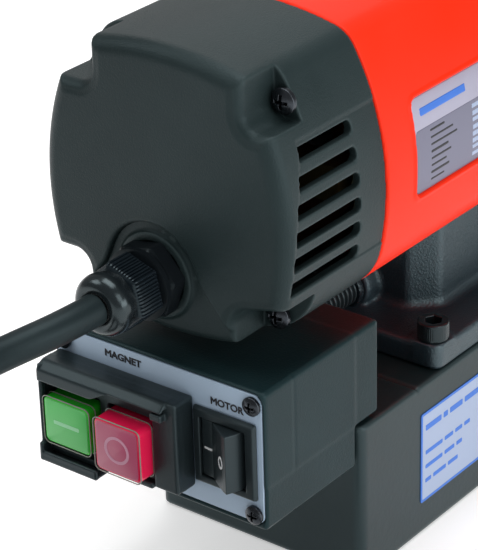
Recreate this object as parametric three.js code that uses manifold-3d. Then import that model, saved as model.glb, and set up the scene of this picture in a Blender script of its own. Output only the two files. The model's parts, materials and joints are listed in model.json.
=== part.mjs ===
// Low-profile magnetic drill press: an electromagnetic base, a frame casting, a horizontal
// universal motor, a right-angle gear case and a vertical quill fed by rack and pinion.
// Millimetres, +Z up, +X towards the spindle, origin at the centre of the magnet's bottom face.
import * as THREE from 'three';
import { mergeVertices } from 'three/addons/utils/BufferGeometryUtils.js';
import Module from 'manifold-3d';

const wasm = await Module();
wasm.setup();

// Driving dimensions.
const GAP = 0.3; // clearance between pieces that touch
const MAGNET = { length: 190, width: 100, height: 67.5, corner: 4 };
const COIL = { outerX: 75, outerY: 36, innerX: 55, innerY: 16, top: 50, seal: 12 };
const FLANGE = { rear: -42.3, front: 71.7, halfWidth: 49.4, top: 78 };
const UPRIGHT = { rear: -20, halfWidth: 29.5, top: 112.6, wall: 6, corner: 10 };
const FRAME_BOLTS = [[-35.35, -42.6], [-35.35, 42.6], [58, -42.6], [58, 42.6]];
const BOLT = { headR: 6.5, headH: 8, shankR: 4, depth: 17 };
const MOTOR = { z: 170.5, halfY: 55.7, wall: 4 };
// A bulged section: side arcs at height sideZ, a top arc, an underside arc, and round corners of radius r.
const MOTOR_SECTION = {
  halfY: 55.7, sideZ: 164, sideR: 105, top: 227, topR: 139.3, low: 113, lowR: 150, r: 13,
};
const CASE_SECTION = {
  halfY: 50, sideZ: 166, sideR: 78, top: 218, topR: 100, low: 114, lowR: 100, r: 14,
};
const CAP = { rear: -146.15, joint: -85.8, fillet: 6.5 };
const HOUSING = { rear: -85.5, front: 20 };
const POCKET = { floor: -126, wall: 3.5 };
const POCKET_CORNERS = [[-36.3, 32.6], [30.5, 34.8], [-36.3, -33], [36.3, -33]];
const CAP_SCREWS = [[-41.5, 39.5], [37.5, 43], [-41.5, -41.5], [41.5, -41.5]];
const CAP_SCREW_R = 2;
const VENT = { rear: -136, front: -100.5, height: 5.2, pitch: 9.6, count: 6 };
const PLATE_RECESS = { rear: -67.5, front: -5, low: 153.5, high: 191.5, depth: 1 };
const GLAND = { y: 5, z: 137.7, baseEnd: -155, nutEnd: -168, end: -178, nutR: 14.8, domeR: 12.6 };
const CORD_R = 6;
const ARMATURE = { shaftR: 6, coreR: 25, coreRear: -70, coreFront: -12 };
const FIRST_STAGE = { module: 1.25, pinionTeeth: 8, gearTeeth: 32 };
const LAYSHAFT_Z = MOTOR.z - FIRST_STAGE.module * (FIRST_STAGE.pinionTeeth + FIRST_STAGE.gearTeeth) / 2;
const BEVEL = { pinionR: 10, gearR: 28 };
const SPINDLE_X = 128;
const CASE = { rear: 20.3, headR: 46, headTop: 214, noseR: 36, noseLow: 50 };
const CASE_LOW = 68.2; // underside of the case above the magnet
const SLEEVE = { outerR: 11, innerR: 8.3, low: 129, high: 199 };
const QUILL = { r: 22, low: 78, high: 128, wall: 4.7 };
const NOSE = { r: 17.5, low: 44, boreR: 9.55, boreDepth: 28 };
const RACK = { module: 1.5, pinionTeeth: 20, width: 16 };
const PINION_X = SPINDLE_X - QUILL.r + RACK.module - (RACK.module * RACK.pinionTeeth) / 2 - GAP;
const PINION_Z = 88;
const LEVER = { y: -64, tilt: 20, length: 150 };
const BOX = { rear: -152.6, seam: -134.8, front: -81.7, halfY: 49.05, low: 52.1, high: 108.9, wall: 3 };
const PANEL = { halfY: 47.8, low: 54.8, high: 107.5, thick: 2 };
const PANEL_SCREWS = [[-44.1, 103.3], [44.1, 103.3], [-44.1, 58.3], [44.1, 58.3]];
const MAGNET_SWITCH = {
  right: -17, left: 46.5, low: 61.3, high: 98.8, front: -163.3, floor: -160.3, hood: -167.2,
};
const TRAY = { front: -168, right: 18, low: 57.6, high: 60.8 };
const GREEN = { face: -166.2, right: 21.8, left: 45.2, low: 65.2, high: 85.6 };
const RED = { face: -170, right: -5.5, left: 17, low: 64.6, high: 87.6 };
const BUTTON_TRAVEL = 3;
const ROCKER = { y: -31.2, z: 80, halfY: 14, halfZ: 15.8, proud: 2.2, pivotX: -151, tilt: 12 };
const CONDUIT = { y: 3, z: 85, r: 7 };
const COIL_RING = { x: -290, y: -5, innerR: 54, outerR: 79, height: 37 };
const PLUG = { start: -210, y: -78, z: 15.2, bodyR: 15 };

// Finishes.
const paint = (color, roughness, metalness = 0) =>
  new THREE.MeshStandardMaterial({ color, roughness, metalness });
const FINISH = {
  orange: () => paint(0xff4b1e, 0.4),
  blackPlastic: () => paint(0x2b3133, 0.6),
  blackPaint: () => paint(0x1d1f24, 0.55, 0.2),
  rubber: () => paint(0x17191a, 0.8),
  steel: () => paint(0xa8abb0, 0.35, 1),
  darkSteel: () => paint(0x2a2526, 0.4, 1),
  copper: () => paint(0xb56a3a, 0.4, 1),
  resin: () => paint(0x3a3f3a, 0.7),
  carbon: () => paint(0x222222, 0.9),
  brass: () => paint(0xb59a55, 0.4, 1),
  panel: () => paint(0xa9bfd6, 0.45),
  green: () => paint(0x35c850, 0.35),
  red: () => paint(0xd01f45, 0.35),
};

// Solids and booleans.
function toSolid(geometry) {
  const bare = geometry.clone();
  bare.deleteAttribute('normal');
  bare.deleteAttribute('uv');
  const merged = mergeVertices(bare, 1e-4);
  const corners = Array.from(merged.index.array);
  const kept = [];
  for (let i = 0; i < corners.length; i += 3) {
    const [a, b, c] = corners.slice(i, i + 3);
    if (a !== b && b !== c && c !== a) kept.push(a, b, c);
  }
  const vertProperties = Float32Array.from(merged.attributes.position.array);
  const triVerts = Uint32Array.from(kept);
  return new wasm.Manifold(new wasm.Mesh({ numProp: 3, vertProperties, triVerts }));
}

function toGeometry(solid) {
  const mesh = solid.getMesh();
  const geometry = new THREE.BufferGeometry();
  geometry.setAttribute('position', new THREE.BufferAttribute(Float32Array.from(mesh.vertProperties), 3));
  geometry.setIndex(Array.from(mesh.triVerts));
  const flat = geometry.toNonIndexed();
  flat.computeVertexNormals();
  return flat;
}

const join = (...solids) => solids.reduce((all, next) => all.add(next));
const cut = (solid, ...tools) => tools.reduce((rest, tool) => rest.subtract(tool), solid);

// Shapes: each returns a solid.
function block(x0, x1, y0, y1, z0, z1) {
  const geometry = new THREE.BoxGeometry(x1 - x0, y1 - y0, z1 - z0);
  geometry.translate((x0 + x1) / 2, (y0 + y1) / 2, (z0 + z1) / 2);
  return toSolid(geometry);
}

// Turns a geometry that runs along its own Y so that it runs along the axis, through centre.
// centre holds the two other coordinates: [y, z] for x, [x, z] for y and [x, y] for z.
function alongAxis(geometry, axis, [a, b]) {
  if (axis === 'x') geometry.rotateZ(-Math.PI / 2).translate(0, a, b);
  if (axis === 'y') geometry.translate(a, 0, b);
  if (axis === 'z') geometry.rotateX(Math.PI / 2).translate(a, b, 0);
  return geometry;
}

// A turned piece: profile is [radius, place along the axis] from low to high up the outside.
function turned(axis, profile, centre, sides = 24) {
  const points = profile.map(([r, along]) => new THREE.Vector2(r, along));
  return toSolid(alongAxis(new THREE.LatheGeometry(points, sides), axis, centre));
}

const rod = (axis, r, low, high, centre, sides = 24) =>
  turned(axis, [[0, low], [r, low], [r, high], [0, high]], centre, sides);

const ring = (axis, inner, outer, low, high, centre, sides = 24) =>
  turned(axis, [[inner, low], [outer, low], [outer, high], [inner, high], [inner, low]], centre, sides);

// A prism along the axis: outline holds [y, z] pairs for x, [x, z] for y and [x, y] for z.
function prism(axis, outline, low, high) {
  const shape = new THREE.Shape(outline.map(([u, v]) => new THREE.Vector2(u, v)));
  const geometry = new THREE.ExtrudeGeometry(shape, { depth: high - low, bevelEnabled: false });
  const [X, Y, Z] = [[1, 0, 0], [0, 1, 0], [0, 0, 1]].map((v) => new THREE.Vector3(...v));
  if (axis === 'x') geometry.applyMatrix4(new THREE.Matrix4().makeBasis(Y, Z, X)).translate(low, 0, 0);
  if (axis === 'y') geometry.rotateX(Math.PI / 2).translate(0, high, 0);
  if (axis === 'z') geometry.translate(0, 0, low);
  return toSolid(geometry);
}

function roundedRect(u0, u1, v0, v1, r, steps = 3) {
  const corners = [[u1 - r, v0 + r, -90], [u1 - r, v1 - r, 0], [u0 + r, v1 - r, 90], [u0 + r, v0 + r, 180]];
  return corners.flatMap(([u, v, start]) =>
    Array.from({ length: steps + 1 }, (_, i) => {
      const angle = THREE.MathUtils.degToRad(start + (90 * i) / steps);
      return [u + r * Math.cos(angle), v + r * Math.sin(angle)];
    }));
}

// Where two circles given as [y, z, radius] meet, on the side of positive y.
function circlesMeet([y1, z1, r1], [y2, z2, r2]) {
  const [dy, dz] = [y2 - y1, z2 - z1];
  const apart = Math.hypot(dy, dz);
  const along = (apart ** 2 + r1 ** 2 - r2 ** 2) / (2 * apart);
  const off = Math.sqrt(r1 ** 2 - along ** 2);
  const meet = (side) => [
    y1 + (along * dy - side * off * dz) / apart,
    z1 + (along * dz + side * off * dy) / apart,
  ];
  const [first, second] = [meet(1), meet(-1)];
  return first[0] > second[0] ? first : second;
}

// A bulged section drawn in by inset, from the middle of its left side round through its top.
function bulged({ halfY, sideZ, sideR, top, topR, low, lowR, r }, inset = 0) {
  const sideY = halfY - sideR;
  const arc = ([y, z], radius, from, to, steps) => Array.from({ length: steps }, (_, i) => {
    const angle = from + ((to - from) * (i + 0.5)) / steps;
    return [y + (radius - inset) * Math.cos(angle), z + (radius - inset) * Math.sin(angle)];
  });
  const quarter = (end, endR, pole) => {
    const corner = circlesMeet([sideY, sideZ, sideR - r], [0, end, endR - r]);
    const sideEnd = Math.atan2(corner[1] - sideZ, corner[0] - sideY);
    const endStart = Math.atan2(corner[1] - end, corner[0]);
    return [
      ...arc([sideY, sideZ], sideR, 0, sideEnd, 3),
      ...arc(corner, r, sideEnd, endStart, 4),
      ...arc([0, end], endR, endStart, pole, 3),
    ];
  };
  const upper = quarter(top - topR, topR, Math.PI / 2);
  const lower = quarter(low + lowR, lowR, -Math.PI / 2);
  const mirrored = (points) => [...points].reverse().map(([y, z]) => [-y, z]);
  return [...upper, ...mirrored(upper), ...lower.map(([y, z]) => [-y, z]), ...[...lower].reverse()];
}

// A skin through sections [x, outline] with the same number of points, closed at both ends.
function loft(sections) {
  const count = sections[0][1].length;
  const positions = sections.flatMap(([x, outline]) => outline.flatMap(([y, z]) => [x, y, z]));
  const index = [];
  sections.slice(1).forEach((_, s) => {
    for (let i = 0; i < count; i += 1) {
      const [a, b] = [s * count + i, s * count + ((i + 1) % count)];
      index.push(a, b, a + count, b, b + count, a + count);
    }
  });
  const last = (sections.length - 1) * count;
  for (let i = 1; i < count - 1; i += 1) {
    index.push(0, i + 1, i, last, last + i, last + i + 1);
  }
  const geometry = new THREE.BufferGeometry();
  geometry.setAttribute('position', new THREE.Float32BufferAttribute(positions, 3));
  geometry.setIndex(index);
  return toSolid(geometry.toNonIndexed());
}

// A spur gear's outline around [u, v]; its first tooth points along startAngle (degrees).
function gearOutline(teeth, module, [u, v], startAngle) {
  const pitchR = (teeth * module) / 2;
  const [rootR, tipR] = [pitchR - 1.2 * module, pitchR + 0.9 * module];
  const [rootHalf, tipHalf] = [0.29, 0.13].map((share) => (share * 2 * Math.PI) / teeth);
  return Array.from({ length: teeth }).flatMap((_, i) => {
    const middle = THREE.MathUtils.degToRad(startAngle) + (2 * Math.PI * i) / teeth;
    return [[rootR, -rootHalf], [tipR, -tipHalf], [tipR, tipHalf], [rootR, rootHalf]].map(([r, turn]) =>
      [u + r * Math.cos(middle + turn), v + r * Math.sin(middle + turn)]);
  });
}

const part = new THREE.Group();
function add(name, solid, finish) {
  const mesh = new THREE.Mesh(toGeometry(solid), finish());
  mesh.name = name;
  part.add(mesh);
}

// Electromagnetic base: a steel block whose pole stands inside a wound coil, sealed with resin.
function addMagnet() {
  const halfX = MAGNET.length / 2;
  const halfY = MAGNET.width / 2;
  const outline = roundedRect(-halfX, halfX, -halfY, halfY, MAGNET.corner);
  const trough = (inset, low, high) => cut(
    block(-COIL.outerX + inset, COIL.outerX - inset, -COIL.outerY + inset, COIL.outerY - inset, low, high),
    block(-COIL.innerX - inset, COIL.innerX + inset, -COIL.innerY - inset, COIL.innerY + inset,
      low - 1, high + 1),
  );
  const holes = FRAME_BOLTS.map((place) =>
    rod('z', BOLT.shankR + GAP, FLANGE.top - BOLT.depth - 14, MAGNET.height + 1, place, 12));
  const leadHole = rod('x', 4, -halfX - 1, -COIL.outerX + 1, [0, 40], 8);
  add('magnet_body', cut(prism('z', outline, 0, MAGNET.height), trough(0, -1, COIL.top), leadHole, ...holes),
    FINISH.blackPaint);
  add('magnet_coil', trough(GAP, COIL.seal + GAP, COIL.top - GAP), FINISH.copper);
  add('magnet_resin_seal', trough(GAP, 0.5, COIL.seal), FINISH.resin);
}

// Frame casting: a foot flange bolted to the magnet and a hollow upright under the motor.
function addFrame() {
  const low = MAGNET.height + GAP;
  const { rear, halfWidth, top, wall, corner } = UPRIGHT;
  const flange = prism('z', roundedRect(FLANGE.rear, FLANGE.front, -FLANGE.halfWidth, FLANGE.halfWidth, 5),
    low, FLANGE.top);
  const upright = prism('z', roundedRect(rear, FLANGE.front, -halfWidth, halfWidth, corner), low, top);
  const boss = rod('x', CONDUIT.r + 3, rear - 8.7, rear + 1, [CONDUIT.y, CONDUIT.z], 16);
  const hollow = block(rear + wall, FLANGE.front - wall, -halfWidth + wall, halfWidth - wall,
    low - 1, top - wall);
  const conduitHole = rod('x', CONDUIT.r + GAP, rear - 15, rear + wall + 1, [CONDUIT.y, CONDUIT.z], 16);
  const holes = FRAME_BOLTS.map((place) => rod('z', BOLT.shankR + GAP, low - 1, FLANGE.top + 1, place, 12));
  add('frame_casting', cut(join(flange, upright, boss), hollow, conduitHole, ...holes), FINISH.blackPaint);
  FRAME_BOLTS.forEach((place, i) => {
    const under = FLANGE.top + GAP;
    const bolt = turned('z', [[0, under - BOLT.depth - 8], [BOLT.shankR, under - BOLT.depth - 8],
      [BOLT.shankR, under], [BOLT.headR, under], [BOLT.headR, under + BOLT.headH],
      [0, under + BOLT.headH]], place, 16);
    const socket = rod('z', 3.5, under + BOLT.headH - 4, under + BOLT.headH + 1, place, 6);
    add(`frame_bolt_${i + 1}`, cut(bolt, socket), FINISH.darkSteel);
  });
}

// Motor housing: the orange shell around the stator, with bosses for the cap's screws.
function addMotorHousing() {
  const outer = bulged(MOTOR_SECTION);
  const inner = bulged(MOTOR_SECTION, MOTOR.wall);
  const bossLength = 24;
  const bosses = CAP_SCREWS.map(([y, z]) =>
    rod('x', 6, HOUSING.rear, HOUSING.rear + bossLength, [y, MOTOR.z + z], 12));
  const screwHoles = CAP_SCREWS.map(([y, z]) =>
    rod('x', CAP_SCREW_R + GAP, HOUSING.rear - 1, HOUSING.rear + bossLength - 4, [y, MOTOR.z + z], 8));
  const plate = [-1, 1].map((side) => {
    const edge = side * (MOTOR.halfY + 5);
    const floor = side * (MOTOR.halfY - PLATE_RECESS.depth - 1.2);
    return block(PLATE_RECESS.rear, PLATE_RECESS.front, Math.min(edge, floor), Math.max(edge, floor),
      PLATE_RECESS.low, PLATE_RECESS.high);
  });
  const outlets = [];
  for (let i = 0; i < 5; i += 1) {
    const z = MOTOR.z + (i - 2) * 14;
    outlets.push(block(3, 14, -MOTOR.halfY - 5, MOTOR.halfY + 5, z - 3, z + 3));
  }
  const shell = cut(prism('x', outer, HOUSING.rear, HOUSING.front), prism('x', inner, HOUSING.rear - 1,
    HOUSING.front + 1));
  const whole = join(shell, ...bosses).intersect(prism('x', outer, HOUSING.rear, HOUSING.front));
  add('motor_housing', cut(whole, ...screwHoles, ...plate, ...outlets), FINISH.orange);
}

// Rear cap: a closed cover over the commutator, with vents, corner pockets and the cord's gland hole.
function addRearCap() {
  const section = (x, inset) => [x, bulged(MOTOR_SECTION, inset)];
  const { rear, joint, fillet } = CAP;
  const outer = loft([section(rear, fillet), section(rear + 0.3 * fillet, 0.3 * fillet),
    section(rear + fillet, 0), section(joint, 0)]);
  const farSide = 80;
  const pocketBlocks = (wall) => POCKET_CORNERS.map(([y, z]) => {
    const span = (inner) =>
      [inner - Math.sign(inner) * wall, Math.sign(inner) * farSide].sort((a, b) => a - b);
    const [z0, z1] = span(z);
    return block(rear - 1, POCKET.floor + wall, ...span(y), MOTOR.z + z0, MOTOR.z + z1);
  });
  const hollow = cut(loft([section(rear + MOTOR.wall + 1, MOTOR.wall + 3), section(rear + 12, MOTOR.wall),
    section(joint + 1, MOTOR.wall)]), ...pocketBlocks(POCKET.wall));
  const bearingSeat = ring('x', 11 + GAP, 15, rear + 4, -122, [0, MOTOR.z], 20);
  const gland = rod('x', 9.5, rear - 1, rear + 12, [GLAND.y, GLAND.z], 16);
  const dish = rod('x', 20, rear - 1, rear + 1.2, [GLAND.y, GLAND.z]);
  const bosses = CAP_SCREWS.map(([y, z]) =>
    rod('x', 6, POCKET.floor, joint, [y, MOTOR.z + z], 12).intersect(outer));
  const screwHoles = CAP_SCREWS.map(([y, z]) =>
    rod('x', CAP_SCREW_R + GAP, POCKET.floor - 1, joint + 1, [y, MOTOR.z + z], 8));
  const vents = [];
  for (let i = 0; i < VENT.count; i += 1) {
    const z = MOTOR.z + (i - (VENT.count - 1) / 2) * VENT.pitch;
    const low = z - VENT.height / 2;
    vents.push(block(VENT.rear, VENT.front, -farSide, -40, low, low + VENT.height));
    vents.push(block(VENT.rear, VENT.front, 40, farSide, low, low + VENT.height));
  }
  const shell = join(cut(outer, hollow), bearingSeat, ...bosses);
  add('rear_cap', cut(shell, ...pocketBlocks(0), gland, dish, ...screwHoles, ...vents), FINISH.blackPlastic);
  CAP_SCREWS.forEach(([y, z], i) => {
    const head = POCKET.floor - GAP;
    const screw = turned('x', [[0, head - 3.6], [3.4, head - 3.3], [4.9, head - 1.4], [4.9, head],
      [CAP_SCREW_R, head], [CAP_SCREW_R, HOUSING.rear + 16], [0, HOUSING.rear + 16]], [y, MOTOR.z + z], 12);
    const slot = (halfY, halfZ) => block(head - 4, head - 2, y - halfY, y + halfY,
      MOTOR.z + z - halfZ, MOTOR.z + z + halfZ);
    add(`cap_screw_${i + 1}`, cut(screw, slot(2.3, 0.5), slot(0.5, 2.3)), FINISH.steel);
  });
}

// Motor: stator, armature on two ball bearings, commutator, two sprung brushes and a fan.
function addMotor() {
  const axis = [0, MOTOR.z];
  const { shaftR, coreR, coreRear, coreFront } = ARMATURE;
  add('stator', turned('x', [[28, coreRear - 10], [40, coreRear - 10], [40, coreRear], [50.5, coreRear],
    [50.5, coreFront], [40, coreFront], [40, coreFront + 8], [28, coreFront + 8],
    [28, coreRear - 10]], axis, 24), FINISH.copper);
  add('armature_core', ring('x', shaftR + GAP, coreR, coreRear, coreFront, axis), FINISH.darkSteel);
  add('commutator', ring('x', shaftR + GAP, 15, -108, -88, axis), FINISH.copper);
  const pinion = prism('x', gearOutline(FIRST_STAGE.pinionTeeth, FIRST_STAGE.module, axis, -90), 35, 48);
  const shaft = turned('x', [[0, -132], [4, -132], [4, -120], [shaftR, -120], [shaftR, 32], [3.4, 32],
    [3.4, 50], [0, 50]], axis, 16);
  add('armature_shaft', join(shaft, pinion), FINISH.steel);
  const blades = Array.from({ length: 9 }, (_, i) => {
    const blade = new THREE.BoxGeometry(10, 27, 1.6);
    blade.translate(6, 29.5, 0).rotateX((2 * Math.PI * i) / 9).translate(0, 0, MOTOR.z);
    return toSolid(blade);
  });
  const disc = ring('x', 17, 42, 11, 13.5, axis);
  add('cooling_fan', join(ring('x', shaftR + GAP, 18, 1, 13, axis), disc, ...blades), FINISH.blackPlastic);
  add('rear_bearing', ring('x', 4 + GAP, 11, -131, -124, axis, 20), FINISH.steel);
  add('front_bearing', ring('x', shaftR + GAP, 12, 22, 30, axis, 20), FINISH.steel);
  [['right', -1], ['left', 1]].forEach(([name, side]) => {
    const between = (a, b) => [side * a, side * b].sort((p, q) => p - q);
    const z = MOTOR.z;
    const holder = cut(block(-104, -92, ...between(19, 47), z - 7, z + 7),
      block(-102.3, -93.7, ...between(18, 44), z - 5.3, z + 5.3));
    add(`brush_holder_${name}`, holder, FINISH.brass);
    add(`carbon_brush_${name}`, block(-102, -94, ...between(15.3, 33), z - 5, z + 5), FINISH.carbon);
  });
}

// Gear case: one casting around the gear train, with the quill's bore below.
function addGearCase() {
  const head = [SPINDLE_X, 0];
  const { rear, headR, headTop, noseR, noseLow } = CASE;
  const pinionAxis = [PINION_X, PINION_Z];
  const body = join(
    prism('x', bulged(CASE_SECTION), rear, 80),
    block(70, SPINDLE_X, -headR, headR, 118, headTop),
    rod('z', headR, 118, headTop, head, 36),
    block(72, SPINDLE_X, -noseR, noseR, CASE_LOW, 120),
    rod('z', noseR, noseLow, 120, head, 36),
  );
  const trim = block(60, MAGNET.length / 2 + 1, -noseR - 5, noseR + 5, noseLow - 5, CASE_LOW);
  const rearChamber = block(rear + 11.7, 78, -40, 40, 124, 208);
  const headChamber = join(
    block(86, SPINDLE_X, -38, 38, 138, 205),
    block(86, 108, -16, 16, 131, 139),
    rod('z', 40 + GAP, 138, headTop + 1, head, 36),
  );
  const bearings = [
    rod('x', 12 + GAP, rear - 1, 40, [0, MOTOR.z], 20),
    rod('x', 10.5 + GAP, rear + 1.7, 40, [0, LAYSHAFT_Z], 20),
    rod('x', 10.5 + GAP, 77, 87, [0, LAYSHAFT_Z], 20),
    rod('z', 19 + GAP, 120, 139, head),
  ];
  const quillBore = rod('z', QUILL.r + GAP, noseLow - 1, QUILL.high + GAP, head, 36);
  const pinionRoom = rod('y', 17, -9, 9, pinionAxis);
  const shaftBore = rod('y', 7 + GAP, -noseR - 1, noseR + 1, pinionAxis, 16);
  const bushSeats = [[-noseR - 1, -28], [28, noseR + 1]].map(([a, b]) =>
    rod('y', 10.5 + GAP, a, b, pinionAxis, 20));
  add('gear_case', cut(body, trim, rearChamber, headChamber, ...bearings, quillBore, pinionRoom, shaftBore,
    ...bushSeats), FINISH.blackPaint);
  add('gear_case_cover', turned('z', [[17 + GAP, 188], [22, 188], [22, 208], [40, 208], [40, headTop + GAP],
    [headR - 0.5, headTop + GAP], [headR - 2, headTop + 5], [0, headTop + 5], [0, 201], [17 + GAP, 201],
    [17 + GAP, 188]], head, 36), FINISH.blackPaint);
}

// Gear train: spur stage to the layshaft, bevel pair to the upright drive sleeve.
function addGearTrain() {
  const axis = [0, LAYSHAFT_Z];
  const head = [SPINDLE_X, 0];
  const [inner, outer] = [SPINDLE_X - BEVEL.gearR - 7, SPINDLE_X - BEVEL.gearR + 3];
  const pinionR = (x) => ((SPINDLE_X - x) / BEVEL.gearR) * BEVEL.pinionR;
  add('layshaft', turned('x', [[0, 23], [5, 23], [5, inner], [pinionR(inner) - 2, inner],
    [pinionR(inner + 2), inner + 2], [pinionR(outer), outer], [0, outer]], axis, 20), FINISH.steel);
  const tooth = 90 + 180 / FIRST_STAGE.gearTeeth;
  const wheel = prism('x', gearOutline(FIRST_STAGE.gearTeeth, FIRST_STAGE.module, axis, tooth), 36, 47);
  add('layshaft_gear', cut(wheel, rod('x', 5 + GAP, 30, 50, axis, 20)), FINISH.steel);
  add('layshaft_bearing_rear', ring('x', 5 + GAP, 10.5, 23, 31, axis, 20), FINISH.steel);
  add('layshaft_bearing_front', ring('x', 5 + GAP, 10.5, 78.5, 85.5, axis, 20), FINISH.steel);
  const apex = LAYSHAFT_Z;
  const coneZ = (r) => apex + (r / BEVEL.gearR) * BEVEL.pinionR + 0.6;
  const { outerR, innerR, low, high } = SLEEVE;
  const bevelGear = [[outerR, coneZ(20)], [20, coneZ(20)], [BEVEL.gearR + 2, coneZ(BEVEL.gearR + 2)],
    [BEVEL.gearR + 1, coneZ(BEVEL.gearR + 2) + 3], [16, coneZ(BEVEL.gearR) + 6],
    [outerR, coneZ(BEVEL.gearR) + 6]];
  add('drive_sleeve', turned('z', [[innerR, low], [outerR, low], ...bevelGear, [outerR, high], [innerR, high],
    [innerR, low]], head, 28), FINISH.steel);
  add('sleeve_bearing_lower', ring('z', outerR + GAP, 19, low, low + 8, head), FINISH.steel);
  add('sleeve_bearing_upper', ring('z', outerR + GAP, 17, 189, 198, head), FINISH.steel);
}

// Quill with its rack, and the arbor spindle that turns inside it.
function addQuill() {
  const head = [SPINDLE_X, 0];
  const { r, low, high, wall } = QUILL;
  const pitch = Math.PI * RACK.module;
  const pitchX = SPINDLE_X - r + RACK.module;
  const half = RACK.width / 2 + 0.5;
  const gaps = [];
  for (let z = PINION_Z - 2 * pitch; z < high; z += pitch) {
    if (z < low + 2) continue;
    gaps.push(prism('y', [[pitchX - 5, z - 3.2], [pitchX + 1.9, z - 0.9], [pitchX + 1.9, z + 0.9],
      [pitchX - 5, z + 3.2]], -half, half));
  }
  const bore = join(rod('z', r - wall, low - 1, high + 1, head), rod('z', r - wall - 0.1, low, high, head));
  add('quill', cut(rod('z', r, low, high, head, 32), bore, ...gaps), FINISH.steel);
  const seat = r - wall - GAP;
  add('spindle_bearing_lower', ring('z', 10 + GAP, seat, low + 1, low + 12, head, 20), FINISH.steel);
  add('spindle_bearing_upper', ring('z', 10 + GAP, seat, high - 12, high - 2, head, 20), FINISH.steel);
  const { r: noseR, low: noseLow, boreR, boreDepth } = NOSE;
  const spindle = turned('z', [[0, noseLow], [noseR - 1.5, noseLow], [noseR, noseLow + 1.5],
    [noseR, low - 6], [noseR - 3, low - 1], [10, low - 1], [10, high], [8, high], [8, 186],
    [0, 186]], head, 28);
  const arborBore = rod('z', boreR, noseLow - 1, noseLow + boreDepth, head);
  const pilot = rod('z', 3.5, noseLow, noseLow + boreDepth + 20, head, 12);
  const screwHoles = rod('x', 4, SPINDLE_X - 30, SPINDLE_X + 30, [0, noseLow + 14], 12);
  add('spindle', cut(spindle, arborBore, pilot, screwHoles), FINISH.steel);
}

// Feed: pinion shaft in two bushes, ratchet lever on the right and its grip.
function addFeed() {
  const axis = [PINION_X, PINION_Z];
  const { y, tilt, length } = LEVER;
  const gear = gearOutline(RACK.pinionTeeth, RACK.module, axis, 0);
  const teeth = prism('y', gear, -RACK.width / 2, RACK.width / 2);
  const shaft = turned('y', [[0, y - 9], [5, y - 9], [5, y - 7], [7, y + 7.3], [7, 44], [0, 44]], axis, 16);
  add('feed_pinion', join(teeth, shaft), FINISH.steel);
  add('feed_bush_right', ring('y', 7 + GAP / 3, 10.5, -38, -28.3, axis, 20), FINISH.brass);
  add('feed_bush_left', ring('y', 7 + GAP / 3, 10.5, 28.3, 38, axis, 20), FINISH.brass);
  const armStart = 12;
  const gripStart = length - 62;
  const place = (solid) => solid.rotate([0, -tilt, 0]).translate([axis[0], 0, axis[1]]);
  const hub = rod('y', 19, y - 7, y + 7, [0, 0]);
  const taper = [[-9, armStart], [9, armStart], [6.5, gripStart], [-6.5, gripStart]];
  const arm = join(prism('y', taper, y - 4, y + 4), rod('z', 5, gripStart - 2, length - 4, [0, y], 12));
  const shaftHole = rod('y', 7 + GAP, y - 10, y + 10, [0, 0], 16);
  add('feed_lever', place(cut(join(hub, arm), shaftHole)), FINISH.steel);
  add('feed_grip', place(turned('z', [[5 + GAP, gripStart + GAP], [10, gripStart + GAP],
    [11.5, gripStart + 6], [10.5, length - 20], [12, length - 6], [9, length], [0, length],
    [0, length - 3.5], [5 + GAP, length - 3.5], [5 + GAP, gripStart + GAP]], [0, y], 16)), FINISH.rubber);
}

// Switch box: front shell over the magnet's rear edge, rear frame, panel and its four screws.
function addSwitchBox() {
  const { rear, seam, front, halfY, low, high, wall } = BOX;
  const magnetRear = -MAGNET.length / 2;
  const underLow = MAGNET.height + 1.8;
  const shape = (inset, from, to) => join(
    block(from, Math.min(to, magnetRear - 1 - inset), -halfY + inset, halfY - inset,
      low + inset, high - inset),
    block(from, to, -halfY + inset, halfY - inset, underLow + inset, high - inset),
  );
  const conduitHole = rod('x', CONDUIT.r + GAP, front - wall - 1, front + 1, [CONDUIT.y, CONDUIT.z], 16);
  add('switch_box', cut(shape(0, seam + GAP, front), shape(wall, seam - 5, front - wall), conduitHole),
    FINISH.blackPlastic);
  const rim = roundedRect(-halfY, halfY, low, high, 2);
  const window = roundedRect(-PANEL.halfY - GAP, PANEL.halfY + GAP, PANEL.low - GAP, PANEL.high + GAP, 3);
  const depth = rear + PANEL.thick + GAP;
  const inside = cut(block(rear - 1, seam + 1, -halfY + 3.5, halfY - 3.5, low + 5, high - 5),
    ...PANEL_SCREWS.map((place) => rod('x', 4.5, depth, seam, place, 12)));
  const bores = (r, from, to) => PANEL_SCREWS.map((place) => rod('x', r, from, to, place, 8));
  add('switch_box_rear_frame', cut(prism('x', rim, rear, seam), prism('x', window, rear - 1, depth), inside,
    ...bores(1.6, rear, seam - 4)), FINISH.blackPlastic);
  const edge = roundedRect(-PANEL.halfY, PANEL.halfY, PANEL.low, PANEL.high, 3);
  const plate = prism('x', edge, rear, rear + PANEL.thick);
  const { right, left } = MAGNET_SWITCH;
  const switchHole = block(rear - 1, rear + 4, right + 4, left - 3,
    MAGNET_SWITCH.low + 3, MAGNET_SWITCH.high - 5);
  const rockerHole = block(rear - 1, rear + 4, ROCKER.y - 11 - GAP, ROCKER.y + 11 + GAP,
    ROCKER.z - 13.5 - GAP, ROCKER.z + 13.5 + GAP);
  add('switch_panel', cut(plate, switchHole, rockerHole, ...bores(1.6, rear - 1, rear + 4)), FINISH.panel);
  PANEL_SCREWS.forEach((place, i) => {
    const face = rear - GAP;
    add(`panel_screw_${i + 1}`, turned('x', [[0, face - 2.4], [2.4, face - 2.2], [3.8, face - 0.8],
      [3.8, face], [1.3, face], [1.3, rear + 11], [0, rear + 11]], place, 12), FINISH.darkSteel);
  });
}

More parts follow.
